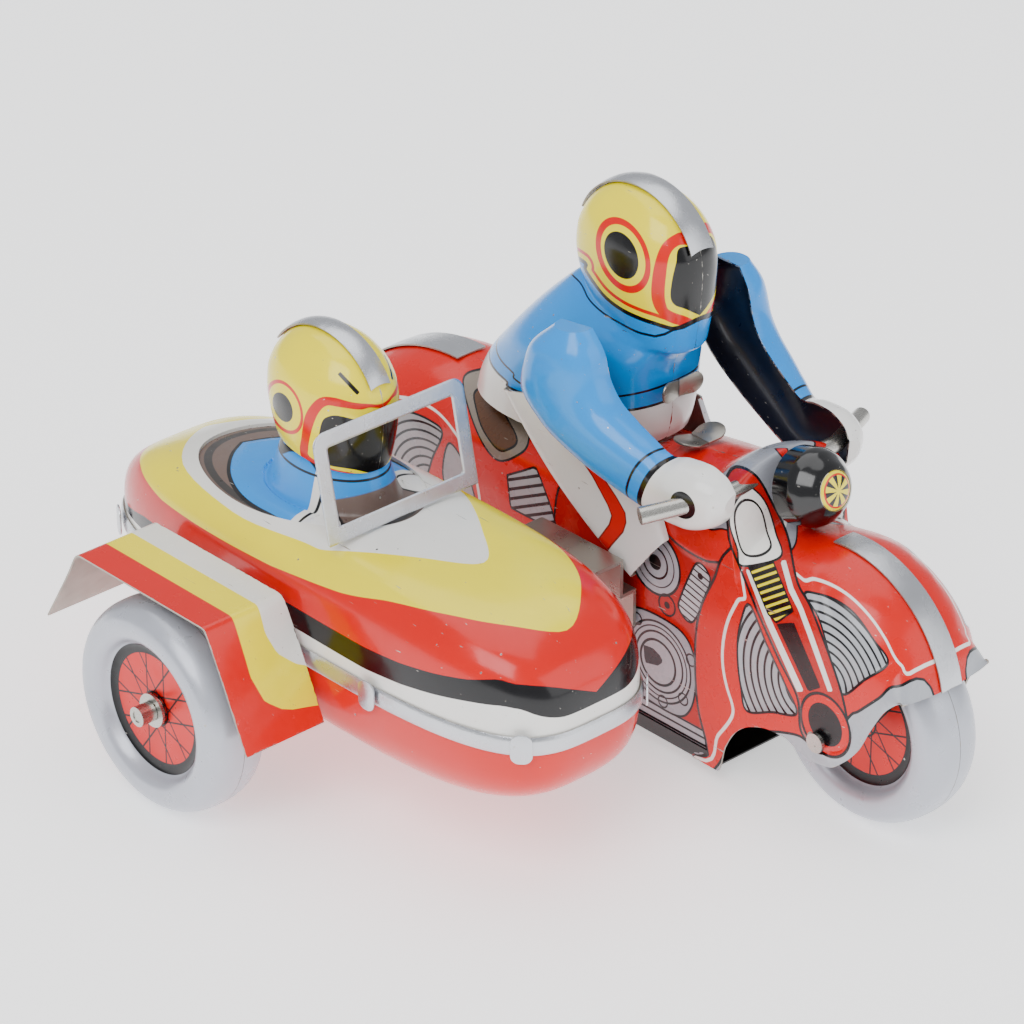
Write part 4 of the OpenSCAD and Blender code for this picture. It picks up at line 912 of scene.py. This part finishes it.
# %% Cockpit plate
SLEEVE = [(-124.5, -54), (-122.4, -61.5), (-116.6, -68.1), (-110.6, -72.1), (-104, -74.3),
          (-96.7, -74.8), (-89, -74), (-88, -67.5), (-95, -66.5), (-102, -66), (-106, -62),
          (-108, -57)]
GLOVE = [(-88.4, -74), (-84, -75), (-80.5, -73.5), (-79.6, -70.5), (-82.5, -67.6), (-88, -67)]


COAT_X, COAT_R = -96.5, 15.6


def cockpit_art(p):
    """The printed distances of the cockpit floor and the passenger's coat."""
    x, y = p[:, 0], BOAT_Y - np.abs(p[:, 1] - BOAT_Y)
    body = np.hypot(x - COAT_X, (y - BOAT_Y) * 1.42)
    sleeve = inside_distance(rounded(SLEEVE), x, y)
    edge = np.hypot((x - COCKPIT_X) / COCKPIT_HALF_L, (y - BOAT_Y) / COCKPIT_HALF_W)
    return {"coat": np.minimum(sleeve, (body - COAT_R) * 0.9), "sleeve": sleeve, "shoulder": body - COAT_R,
            "glove": inside_distance(rounded(GLOVE), x, y), "cuff": np.abs(x + 89.6) - 0.9,
            "floor_rim": (edge - 0.915) * -COCKPIT_HALF_W, "collar": p[:, 2] - 64.0}


# The plate reaches this far under the deck's lip
TUCK = 1.2
angle = np.linspace(0, 2 * math.pi, 241)
rows = []
for f in np.linspace(1, 0, 90):
    reach_x, reach_y = (COCKPIT_HALF_L + TUCK) * f, (COCKPIT_HALF_W + TUCK) * f
    cx = COCKPIT_X * f + PASS_X * (1 - f)
    x, y = cx + reach_x * np.cos(angle), BOAT_Y + reach_y * np.sin(angle)
    body = np.hypot(x - PASS_X, (y - BOAT_Y) * COAT_R / 11)
    floor_z = RIM_Z + boat_height(x, y) - 0.75
    rise = 9.6 * ease(-body, -16.4, -11.6)
    arm = np.minimum(inside_distance(rounded(SLEEVE), x, BOAT_Y - np.abs(y - BOAT_Y)),
                     inside_distance(rounded(GLOVE), x, BOAT_Y - np.abs(y - BOAT_Y)))
    rows.append(np.stack([x, y, floor_z + rise + 0.45 * ease(-arm, 0, 2.5) * (body > 17)], 1))
# Brown ink printed thin, duller than the outside
cockpit_tin = tinplate("brown lithographed plate", "#6B5850", [
    ("floor_rim", "line", 1.3, "#3A3634", None), ("coat", "fill", 0, BLUE, None),
    ("sleeve", "line", 0.8, BLACK, None), ("cuff", "fill", 0, "#E9E7E2", "sleeve"),
    ("glove", "fill", 0, "#ECEAE6", None), ("glove", "line", 0.6, BLACK, None),
    ("collar", "line", 0.5, BLACK, "shoulder")], gloss=0.32, grain=0.1)
floor_plate = press("cockpit_floor", np.array(rows), cockpit_tin, inside=(-98, BOAT_Y, 30), art=cockpit_art)
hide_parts("cockpit_plate")

# %% Windshield frame
LEAN, SCREEN_X, SCREEN_Z, SCREEN_HALF_THICK = math.radians(12), -74.5, 58.4, 0.79


def frame_ring(half_w, low, high, r, corners=8):
    """A closed outline with round upper corners and almost sharp lower ones."""
    out = []
    for cx, cz, start in ((half_w - r, high - r, 0), (-half_w + r, high - r, 90),
                          (-half_w + 0.4, low + 0.4, 180), (half_w - 0.4, low + 0.4, 270)):
        rr = r if start < 180 else 0.4
        for k in range(corners + 1):
            a = math.radians(start + 90 * k / corners)
            out.append((cx + rr * math.cos(a), cz + rr * math.sin(a)))
    return np.array(out + out[:1])


outer, inner = frame_ring(19.5, 0, 23, 3), frame_ring(16.1, 3.4, 19.6, 0.6)
# The frame's face is flat, with both edges eased by a tenth of a millimetre
shares = np.r_[0, 0.06, np.linspace(0.15, 0.85, 5), 0.94, 1]
ring = outer[None] + (inner - outer)[None] * shares[:, None, None]
crown = np.where((shares > 0.01) & (shares < 0.99), 0.0, 0.12)[:, None] + 0 * ring[..., 0]
face = SCREEN_HALF_THICK - crown
screen = np.stack([SCREEN_X - ring[..., 1] * math.sin(LEAN) + face * math.cos(LEAN), BOAT_Y + ring[..., 0],
                   SCREEN_Z + ring[..., 1] * math.cos(LEAN) + face * math.sin(LEAN)], 2)
shield = press("windshield", screen, silver, wall=0.7, inside=(-80, BOAT_Y, 66), back=silver,
               smooth=50)
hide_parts("windshield_frame")


# %% Sidecar fender
FENDER_TOP = 47.5


def fender_art(p):
    """Three stripes. On the front slope they bend towards the boat."""
    drop = np.where(p[:, 0] > -90, FENDER_TOP - p[:, 2], 0)
    yellow = np.interp(drop, [0, 5, 9, 12, 14], [-90.4, -91, -89.8, -86.5, -82.5])
    red = np.interp(drop, [0, 11, 16, 19, 21], [-96.9, -97.4, -96, -92, -82])
    return {"f_yellow": (p[:, 1] - yellow) * 0.8, "f_red": (p[:, 1] - red) * 0.7}


profile = [(-131.8, 29), (-128.2, 35), (-124.5, 41.3), (-121.6, 46.6), (-120.8, 47.3),
           (-120, FENDER_TOP), (-110, FENDER_TOP), (-100, FENDER_TOP), (-90, FENDER_TOP),
           (-82, FENDER_TOP), (-81.2, 47.3), (-80.4, 46.4), (-77, 40), (-73, 31.8), (-69.1, 23.7)]
line = smooth_rows(profile, 90)
v = np.linspace(BOAT_Y - BOAT_HALF - 1.7, SIDE_Y - 3.9, 40)
sheet_points = np.stack([line[:, 0:1] + 0 * v, v + 0 * line[:, 0:1], line[:, 1:2] + 0 * v], 2)
# The white ground is the ink that shows its scratches most
fender_tin = tinplate("striped lithographed fender", "#E7E5DF", [
    ("f_yellow", "fill", 0, YELLOW, None), ("f_red", "fill", 0, RED, None)], gloss=0.22, coat=0.25)
fender = press("wheel_fender", sheet_points, fender_tin, inside=(-100, -94, 20), art=fender_art,
               wall=0.38)
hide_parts("sidecar_fender")

# %% [markdown]
# ## Helmets
# The passenger's head is two yellow half domes and the rider's grows out of the jacket. A black visor
# fills the front, framed in yellow and red, and a printed ring marks each ear. The rider's helmet is a
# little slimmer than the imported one.

# %% Head shapes
def helmet_ribs(cx, cz, l, w, h, drop):
    """Ribs from the crown to the neck. drop tilts the lower ones forward."""
    ribs = []
    for i in range(11):
        t = math.radians(84 - 146 * i / 10)
        low = min(math.sin(t), 0)
        k = math.cos(t) if t > 0 else 1 - 0.16 * low**2
        z = cz + h * math.sin(t)
        ribs.append(((cx + l * k, z + drop * low), (cx - l * k, z - drop * low), w * k))
    return ribs


print(len(helmet_ribs(0, 0, 1, 1, 1, 0)), "ribs in a helmet")

# %% Passenger print
P_FRAME = [(-66, 88), (-73.2, 86), (-80, 83.8), (-86, 82.6), (-90, 81), (-93, 78), (-95, 74.5),
           (-96, 70), (-96.6, 67), (-96, 65), (-94.5, 64.3), (-87.2, 65), (-82, 66.2), (-75, 68.4),
           (-60, 72)]
P_INNER = [(-60, 88), (-73.3, 85.2), (-78, 83), (-84, 81.2), (-88, 80), (-90.5, 77.5), (-92.3, 74),
           (-93.5, 70.5), (-94, 68), (-93.5, 66.5), (-87.3, 66.4), (-80, 68.2), (-75, 69.5),
           (-58, 73)]
P_BLACK = [(-64, 83), (-74, 82), (-78.5, 80.5), (-85, 79), (-88, 77.5), (-89.5, 76), (-90.5, 73),
           (-91, 69.5), (-90, 67), (-87.2, 67), (-80, 69), (-74.5, 70.3), (-60, 74)]
R_FRAME = [(-38, 116), (-47, 113.5), (-50, 112), (-53.5, 108.5), (-55.5, 103.5), (-56.3, 98),
           (-55.8, 95), (-54, 93.2), (-51.5, 92.6), (-47, 93.2), (-36, 96)]
R_INNER = [(-36, 114), (-46.5, 111), (-49.5, 109.5), (-51.5, 106.5), (-52.3, 101.5), (-52.5, 98),
           (-52, 96), (-51, 95.2), (-47, 95.5), (-36, 97.5)]
R_BLACK = [(-38, 112), (-48, 110), (-49.5, 106), (-50.5, 102), (-50.9, 98.5), (-50, 97),
           (-47.5, 97), (-38, 99)]
P_HEM = [(-120, 70), (-108.2, 68), (-105, 65), (-100, 62.9), (-95, 62.2), (-87, 64), (-80, 65.8),
         (-60, 70), (-60, 40), (-120, 40)]
P_SLOT = [(-84.6, 88.2), (-83.7, 89.1), (-78.0, 86.8), (-78.9, 85.8)]


def ear_place(near, x, z, ear, centre, reach):
    """flat_x and flat_z, spread out beyond reach mm from the ear, so the back repeats no ring."""
    spread = 1 + 30 * ease(np.linalg.norm(near - ear, axis=1), reach, reach + 4)
    return {"flat_x": centre[0] + (x - centre[0]) * spread, "flat_z": centre[1] + (z - centre[1]) * spread}


def passenger_art(p):
    """The printed distances of the passenger's head, mirrored on its left half."""
    near = np.stack([p[:, 0], BOAT_Y - np.abs(p[:, 1] - BOAT_Y), p[:, 2]], 1)
    x, z = flat(near, -66.0)
    return {**ear_place(near, x, z, (-98.5, BOAT_Y - 10.5, 76.5), (-101.3, 74.5), 9),
            "visor_frame": inside_distance(rounded(P_FRAME), x, z),
            "visor": inside_distance(rounded(P_BLACK), x, z),
            "visor_in": inside_distance(rounded(P_INNER), x, z),
            "hem_red": inside_distance(rounded(P_HEM), x, z) - 1.5,
            "hem": inside_distance(rounded(P_HEM), x, z),
            "slot": inside_distance(np.array(P_SLOT), x, z)}


# Yellow ink under the shiniest varnish of the toy
helmet_tin = tinplate("yellow lithographed helmet", YELLOW, [
    ("visor_frame", "fill", 0, RED, None), ("hem_red", "line", 0.8, RED, None),
    ("visor_in", "fill", 0, YELLOW, None), ("visor", "fill", 0, "#08080A", None),
    ((-101, 74.7), "ring", (5.3, 0.8), RED, None), ((-101.6, 74.4), "disc", 3.1, "#0E0E10", None),
    ("hem", "fill", 0, BLUE, None), ("hem", "line", 0.7, BLACK, None),
    ("slot", "fill", 0, BLACK, None)], gloss=0.18, coat=0.25)
head = dome(helmet_ribs(PASS_X, PASS_Z, P_LENGTH, P_WIDTH, P_HEIGHT, 2), 2.1, across=96, along=120)
for side, name in ((-1, "right"), (1, "left")):
    half = press(f"passenger_{name}", turned(head, side, BOAT_Y), helmet_tin,
                 inside=(PASS_X, BOAT_Y, PASS_Z - 4), art=passenger_art)
    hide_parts(f"passenger_head_{name}")

# %% [markdown]
# ## Rider
# Helmet, jacket, chest and trouser leg are one stamping on each side. The leg is a shallow tray that
# lies on the engine, so it is pressed as a second sheet and joined.

# %% Rider outlines
LEG_BAND = [(-77, 67.5), (-70, 64), (-64, 60.5), (-59, 58.5), (-55, 55.5), (-52.5, 53), (-52.2, 51),
            (-53, 48.5), (-56, 44.5), (-59.5, 39.5), (-63.3, 40.2), (-60, 44), (-57, 48.5),
            (-56.3, 50.8), (-57.5, 52.8), (-62, 57.5), (-68, 62), (-74.5, 66.3)]
R_HEM = [(-170, 97), (-90, 97), (-76, 97), (-75, 95.2), (-70, 91.7), (-65, 90.4), (-60, 90.3),
         (-55, 90.8), (-50, 91.5), (-30, 95), (-30, 10), (-170, 10)]
R_COLLAR = [(-170, 93), (-90, 93), (-78, 92.5), (-74, 89.2), (-70, 87.7), (-65, 87.2), (-60, 87.1),
            (-55, 88), (-35, 92), (-35, 10), (-170, 10)]
JACKET_HEM = [(-130, 66), (-93.3, 67.4), (-89.9, 66.2), (-82.4, 67), (-72, 68.3), (-61.9, 69.2),
              (-40, 70), (-40, 40), (-130, 40)]
JACKET_LINE = [(-130, 70), (-91.8, 70.3), (-87.7, 68.9), (-82, 68.8), (-72, 70.6), (-62.9, 72.5),
               (-40, 74), (-40, 40), (-130, 40)]


def rider_art(p):
    """The printed distances of the rider's helmet, coat and leg, mirrored on the left half."""
    near = np.stack([p[:, 0], -np.abs(p[:, 1]), p[:, 2]], 1)
    x, z = flat(near, -9.0)
    lx, lz = flat(near, -19.0)
    on_leg = near[:, 1] < -17.2
    visor_frame, visor, visor_in, hem, collar = (
        inside_distance(rounded(line), x, z) for line in (R_FRAME, R_BLACK, R_INNER, R_HEM, R_COLLAR))
    coat_hem, coat_line = (
        inside_distance(rounded(line), p[:, 0], p[:, 2]) for line in (JACKET_HEM, JACKET_LINE))
    leg = inside_distance(np.array(LEG_BAND, float), lx, lz)
    # On the leg 9 mm inside fills an area and hides a line, and 9 mm outside hides both
    return {**ear_place(near, x, z, (-63.5, -10.0, 103.2), (-64.6, 102.3), 11),
            "visor_frame": np.where(on_leg, 9, visor_frame), "visor": np.where(on_leg, 9, visor),
            "visor_in": np.where(on_leg, 9, visor_in), "hem_red": np.where(on_leg, -9, hem - 1.9),
            "hem": hem, "collar": collar, "coat_hem": np.where(on_leg, -9, coat_hem),
            "coat_line": np.where(on_leg, -9, coat_line), "leg_band": np.where(on_leg, leg, 9)}


# %% Rider sheets
# The coat's blue and the helmet's yellow are one printing, with the same soft gloss
rider_tin = tinplate("rider lithographed tinplate", YELLOW, [
    ("visor_frame", "fill", 0, RED, None), ("hem_red", "line", 0.8, RED, None),
    ("visor_in", "fill", 0, YELLOW, None), ("visor", "fill", 0, "#08080A", None),
    ((-64.4, 102.4), "ring", (7.1, 1.5), RED, None), ((-64.9, 102.2), "disc", 4.9, "#0E0E10", None),
    ("hem", "fill", 0, BLUE, None), ("hem", "line", 0.9, BLACK, None),
    ("collar", "line", 0.5, BLACK, None), ("coat_line", "line", 0.5, BLACK, None),
    ("coat_hem", "fill", 0, "#E6E5E2", None), ("coat_hem", "line", 0.6, BLACK, None),
    ("leg_band", "fill", 0, RED, None), ("leg_band", "line", 0.35, "#7A1710", None)], gloss=0.2, coat=0.25)
torso_ribs = helmet_ribs(RIDER_X, RIDER_Z, R_LENGTH, R_WIDTH, R_HEIGHT, 5.5) + [
    ((-56, 81.5), (-83.5, 91), 10.5), ((-58, 79), (-91, 84), 14.5), ((-58.8, 75), (-99, 75), 17),
    ((-58.8, 69), (-105, 68), 17), ((-59.5, 63), (-108.5, 62), 16.6), ((-60.5, 60), (-109.6, 58.6), 16.4)]
leg_ribs = [((-63, 74), (-90, 66), 2.2), ((-58, 70.5), (-85, 61), 2.4), ((-50.5, 63.5), (-76, 52.8), 2.6),
            ((-45, 55.5), (-63, 44), 2.6), ((-42.5, 50), (-52, 38), 2.2)]
torso = dome(torso_ribs, 2.4, across=120, along=200)
legs = {-1: dome(leg_ribs, 5, across=90, along=80, close=False)}
# The far leg lies lower and further back, out of sight behind the tank
legs[1] = dome([((-68, 60), (-90, 58), 2.2), ((-66, 56), (-85, 53), 2.4), ((-63, 51), (-76, 47), 2.6),
                ((-60, 47), (-68, 42), 2.6), ((-57, 43), (-61, 38), 2.2)], 5, across=90, along=80,
               close=False)
for side, name in ((-1, "right"), (1, "left")):
    upper = press(f"rider_{name}", turned(torso, side, 0), rider_tin, inside=(-78, 0, 80), art=rider_art)
    lower = press(f"leg_{name}", turned(legs[side], side, side * 16.35), rider_tin, inside=(-66, 0, 58),
                  art=rider_art)
    join(f"rider_{name}_half", [upper, lower], f"rider_{name}_shell")

# %% [markdown]
# ## Arms
# Sleeve and glove are one shallow pressing, open on the inside, where the tin is darkened with painted
# shade.

# %% Arms with gloves
arm_ribs = [((-61, 91.5), (-69, 91), 4.5), ((-57.8, 87), (-75, 84.5), 7.5),
            ((-56.3, 82), (-76.5, 76.5), 8.5), ((-53.5, 77.8), (-71, 69.5), 8.5),
            ((-49.5, 75), (-61.5, 64), 8), ((-45, 72.5), (-53, 60.5), 7), ((-40, 70.3), (-46, 58), 6),
            ((-36, 71.3), (-41, 57), 6.6), ((-31.5, 71.6), (-34.5, 57), 7),
            ((-26.6, 70), (-28, 59.4), 5.6), ((-24.6, 67.4), (-25.2, 62.4), 3)]
ARM_X, ARM_Y, ARM_TURN = -55, 19.6, 7


def arm_points(side):
    """The arm's shell, closed at the fingers and turned a little inwards."""
    p = dome(arm_ribs, 2.4, across=70, along=130)
    middle = p[-1].mean(0) * [1, 0, 1]
    p = np.concatenate([p, middle + (p[-1] - middle) * np.array([0.7, 0.35, 0.0])[:, None, None]])
    turn = math.radians(-ARM_TURN * side)
    x, y = p[..., 0] - ARM_X, side * p[..., 1]
    return np.stack([ARM_X + x * math.cos(turn) - y * math.sin(turn),
                     side * ARM_Y + x * math.sin(turn) + y * math.cos(turn), p[..., 2]], 2)


CUFF = [(-39.6, 76), (-40.4, 70.6), (-41.6, 67), (-43, 63), (-45.4, 56), (-50, 50), (-10, 50),
        (-10, 90)]


def arm_art(p):
    """The cuff's lines and the hole that the handlebar goes through."""
    x = p[:, 0] + 0.12 * (np.abs(p[:, 1]) - 24)
    cuff = inside_distance(np.array(CUFF, float), x, p[:, 2])
    return {"cuff": cuff, "cuff_b": cuff - 3.0, "hole": np.hypot(p[:, 0] + 31.8, p[:, 2] - 64.8) - 2.9}


# Blue ink outside. The inside gets painted shade, a near-black that hardly shines, in place of bare tin
sleeve_tin = tinplate("blue lithographed sleeve", BLUE, [
    ("cuff", "fill", 0, "#ECEBE8", None), ("cuff", "line", 1.2, BLACK, None),
    ("cuff_b", "line", 0.5, BLACK, None), ("hole", "fill", 0, "#141416", None)], gloss=0.2, coat=0.25)
painted_shade_back = tinplate("tinplate back with painted shade", "#1B1D2B", gloss=0.3, metal=0.2, coat=0.2, wear=0.8)
for side, name in ((-1, "right"), (1, "left")):
    # The hollow inside of each arm takes the near-black painted shade instead of bare tin
    arm = press(f"arm_{name}", arm_points(side), sleeve_tin, inside=(-48, side * 16, 74), art=arm_art,
                back=painted_shade_back)
    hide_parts(f"rider_{name}_arm")

# %% [markdown]
# ## Small clips
# The clips at the tank and on the chest are the bent ends of a tab: two little leaves with rounded
# tips that stand up from a slit in the seam.

# %% Tank clip and chest clip
def leaf(length, width, corners=12):
    """A rounded leaf outline from its root at u = 0 to its tip."""
    turn = np.linspace(-math.pi / 2, math.pi / 2, corners)
    tip = [(length - width / 2 + width / 2 * math.cos(a), width / 2 * math.sin(a)) for a in turn]
    return [(0, -width / 2 * 0.8)] + tip + [(0, width / 2 * 0.8)]


leaves = []
for way in (-1, 1):
    def on_tank(u, w, way=way):
        return -51.0 + w, way * (0.1 + u), 63.45 + 0.27 * max(u - 1.2, 0)
    leaves.append(plate("leaf", leaf(6.0, 6.4), on_tank, bare_tin, thick=0.5))
join("tank_leaves", leaves, "tank_clip")
CHEST_X, CHEST_Z = -57.3, SADDLE_Z + 15.5
wings = []
for way in (-1, 1):
    def on_chest(u, w, way=way):
        return CHEST_X + 0.24 * u, way * (0.1 + u), CHEST_Z + w + 0.12 * u
    wings.append(plate("wing", leaf(5.6, 4.6), on_chest, bare_tin, thick=0.45))
join("chest_leaves", wings, "chest_clip")

# %% [markdown]
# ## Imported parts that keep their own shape
# Axles, plates, gears and the key are as finished as they need to be in the frame. They get steel,
# brass or enamel surfaces by their slot.

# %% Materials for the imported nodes
def metal_finish(name, colour, rough, streak=(0.2, 4.0, 4.0), tint=0.1):
    """Bare metal: brushed along one axis, with darker stains in patches."""
    mat = bpy.data.materials.new(name)
    mat.use_nodes = True
    tree = mat.node_tree
    tree.nodes.clear()
    place = add(tree, "ShaderNodeTexCoord", out="Object")
    spot = add(tree, "ShaderNodeMapping", [("Vector", place), ("Scale", (1000,) * 3)])
    brush = add(tree, "ShaderNodeMapping", [("Vector", spot), ("Scale", streak)])
    lines = add(tree, "ShaderNodeTexNoise", [("Vector", brush), ("Scale", 1.2), ("Detail", 4)])
    stain = add(tree, "ShaderNodeTexNoise", [("Vector", spot), ("Scale", 0.2), ("Detail", 5)])
    dark = add(tree, "ShaderNodeMapRange", [("Value", stain), ("From Min", 0.35), ("From Max", 0.7),
                                            ("To Min", 1 - tint), ("To Max", 1.05)])
    ink = add(tree, "ShaderNodeMix", [("Factor", 1.0), (6, linear(colour)), (7, dark)], out=2,
              data_type="RGBA", blend_type="MULTIPLY")
    speck = add(tree, "ShaderNodeTexVoronoi", [("Vector", spot), ("Scale", 0.3)], out="Distance")
    speck = add(tree, "ShaderNodeMapRange", [("Value", speck), ("From Min", 0.08), ("From Max", 0.05)])
    ink = add(tree, "ShaderNodeMix", [("Factor", speck), (6, ink), (7, linear("#5A4A3C"))], out=2,
              data_type="RGBA")
    gloss = add(tree, "ShaderNodeMapRange", [("Value", lines), ("To Min", rough * 0.75),
                                             ("To Max", rough * 1.4)])
    bump = add(tree, "ShaderNodeBump", [("Height", lines), ("Strength", 0.3), ("Distance", 0.00008)])
    shader = add(tree, "ShaderNodeBsdfPrincipled", [
        ("Base Color", ink), ("Roughness", gloss), ("Metallic", 0.95), ("Normal", bump)], out="BSDF")
    tree.links.new(shader, tree.nodes.new("ShaderNodeOutputMaterial").inputs["Surface"])
    return mat


# Drawn steel is streaked along the rod, stamped steel is dull, blued steel darker and smoother, cut
# brass warm with fine turning lines, and nickel the brightest
ROUND_ROD = (4.0, 0.2, 4.0)
slot_finish = {
    "red_litho": red_tin, "silver_paint": silver, "wheel_litho": wheel_tin, "lamp_black": black_enamel,
    "lens_litho": lens_tin, "black_base": black_enamel, "bare_tin": bare_tin,
    "steel_rod": metal_finish("drawn steel rod", "#B8B6B0", 0.25, ROUND_ROD),
    "motor_steel": metal_finish("stamped motor steel", "#9A968E", 0.36),
    "spring_steel": metal_finish("blued spring steel", "#5C6070", 0.22, ROUND_ROD),
    "gear_brass": metal_finish("cut brass", "#B5923F", 0.3, ROUND_ROD),
    "key_steel": metal_finish("nickelled key", "#BDB9AE", 0.24),
}
for node, piece in frame["nodes"].items():
    piece.data.materials.clear()
    piece.data.materials.append(slot_finish.get(SLOTS[node], silver))
print("finished", len(frame["nodes"]), "packed nodes")

# %% [markdown]
# ## Floor, light and camera
# A pale floor and large soft lights give printed tin its long, gentle reflections.

# %% Stage
deselect()
bpy.ops.mesh.primitive_plane_add(size=6, location=(0, 0, -0.0002))
floor = bpy.context.object
floor.name = "floor"
paper = bpy.data.materials.new("white studio sweep")
paper.use_nodes = True
sheet = paper.node_tree.nodes["Principled BSDF"]
sheet.inputs["Base Color"].default_value = linear("#FFFFFF")
sheet.inputs["Roughness"].default_value = 0.9
sheet.inputs["Emission Color"].default_value = linear("#FFFFFF")
sheet.inputs["Emission Strength"].default_value = 0.8
floor.data.materials.append(paper)
print("floor ready")

# %% Lights
def soft_light(name, where, size, power, target=(0, 0, 0.05)):
    """A square area light that faces the target."""
    lamp_data = bpy.data.lights.new(name, "AREA")
    lamp_data.size = size
    lamp_data.energy = power
    unit = bpy.data.objects.new(name, lamp_data)
    bpy.context.collection.objects.link(unit)
    unit.location = where
    unit.rotation_euler = (Vector(where) - Vector(target)).to_track_quat("Z", "Y").to_euler()


soft_light("key light", (0.35, -0.9, 1.1), 0.9, 14)
soft_light("top light", (-0.3, 0.2, 1.4), 1.4, 11)
soft_light("fill light", (1.3, 0.5, 0.6), 1.1, 6)
world = bpy.data.worlds.new("soft room")
bpy.context.scene.world = world
world.use_nodes = True
world.node_tree.nodes["Background"].inputs["Color"].default_value = linear("#F4F6FA")
world.node_tree.nodes["Background"].inputs["Strength"].default_value = 0.6
print("three soft lights and a pale world")

# %% Camera
azimuth, elevation = math.radians(47.52), math.radians(28.95)
back = Vector((math.cos(elevation) * math.sin(azimuth), -math.cos(elevation) * math.cos(azimuth),
               math.sin(elevation)))
camera_data = bpy.data.cameras.new("camera")
camera_data.lens = 168.9
camera_data.sensor_width = 36
camera_data.dof.use_dof = False
camera = bpy.data.objects.new("camera", camera_data)
bpy.context.collection.objects.link(camera)
camera.location = CAMERA_AT
camera.rotation_euler = back.to_track_quat("Z", "Y").to_euler()
bpy.context.scene.camera = camera
print("camera lens", camera_data.lens, "mm")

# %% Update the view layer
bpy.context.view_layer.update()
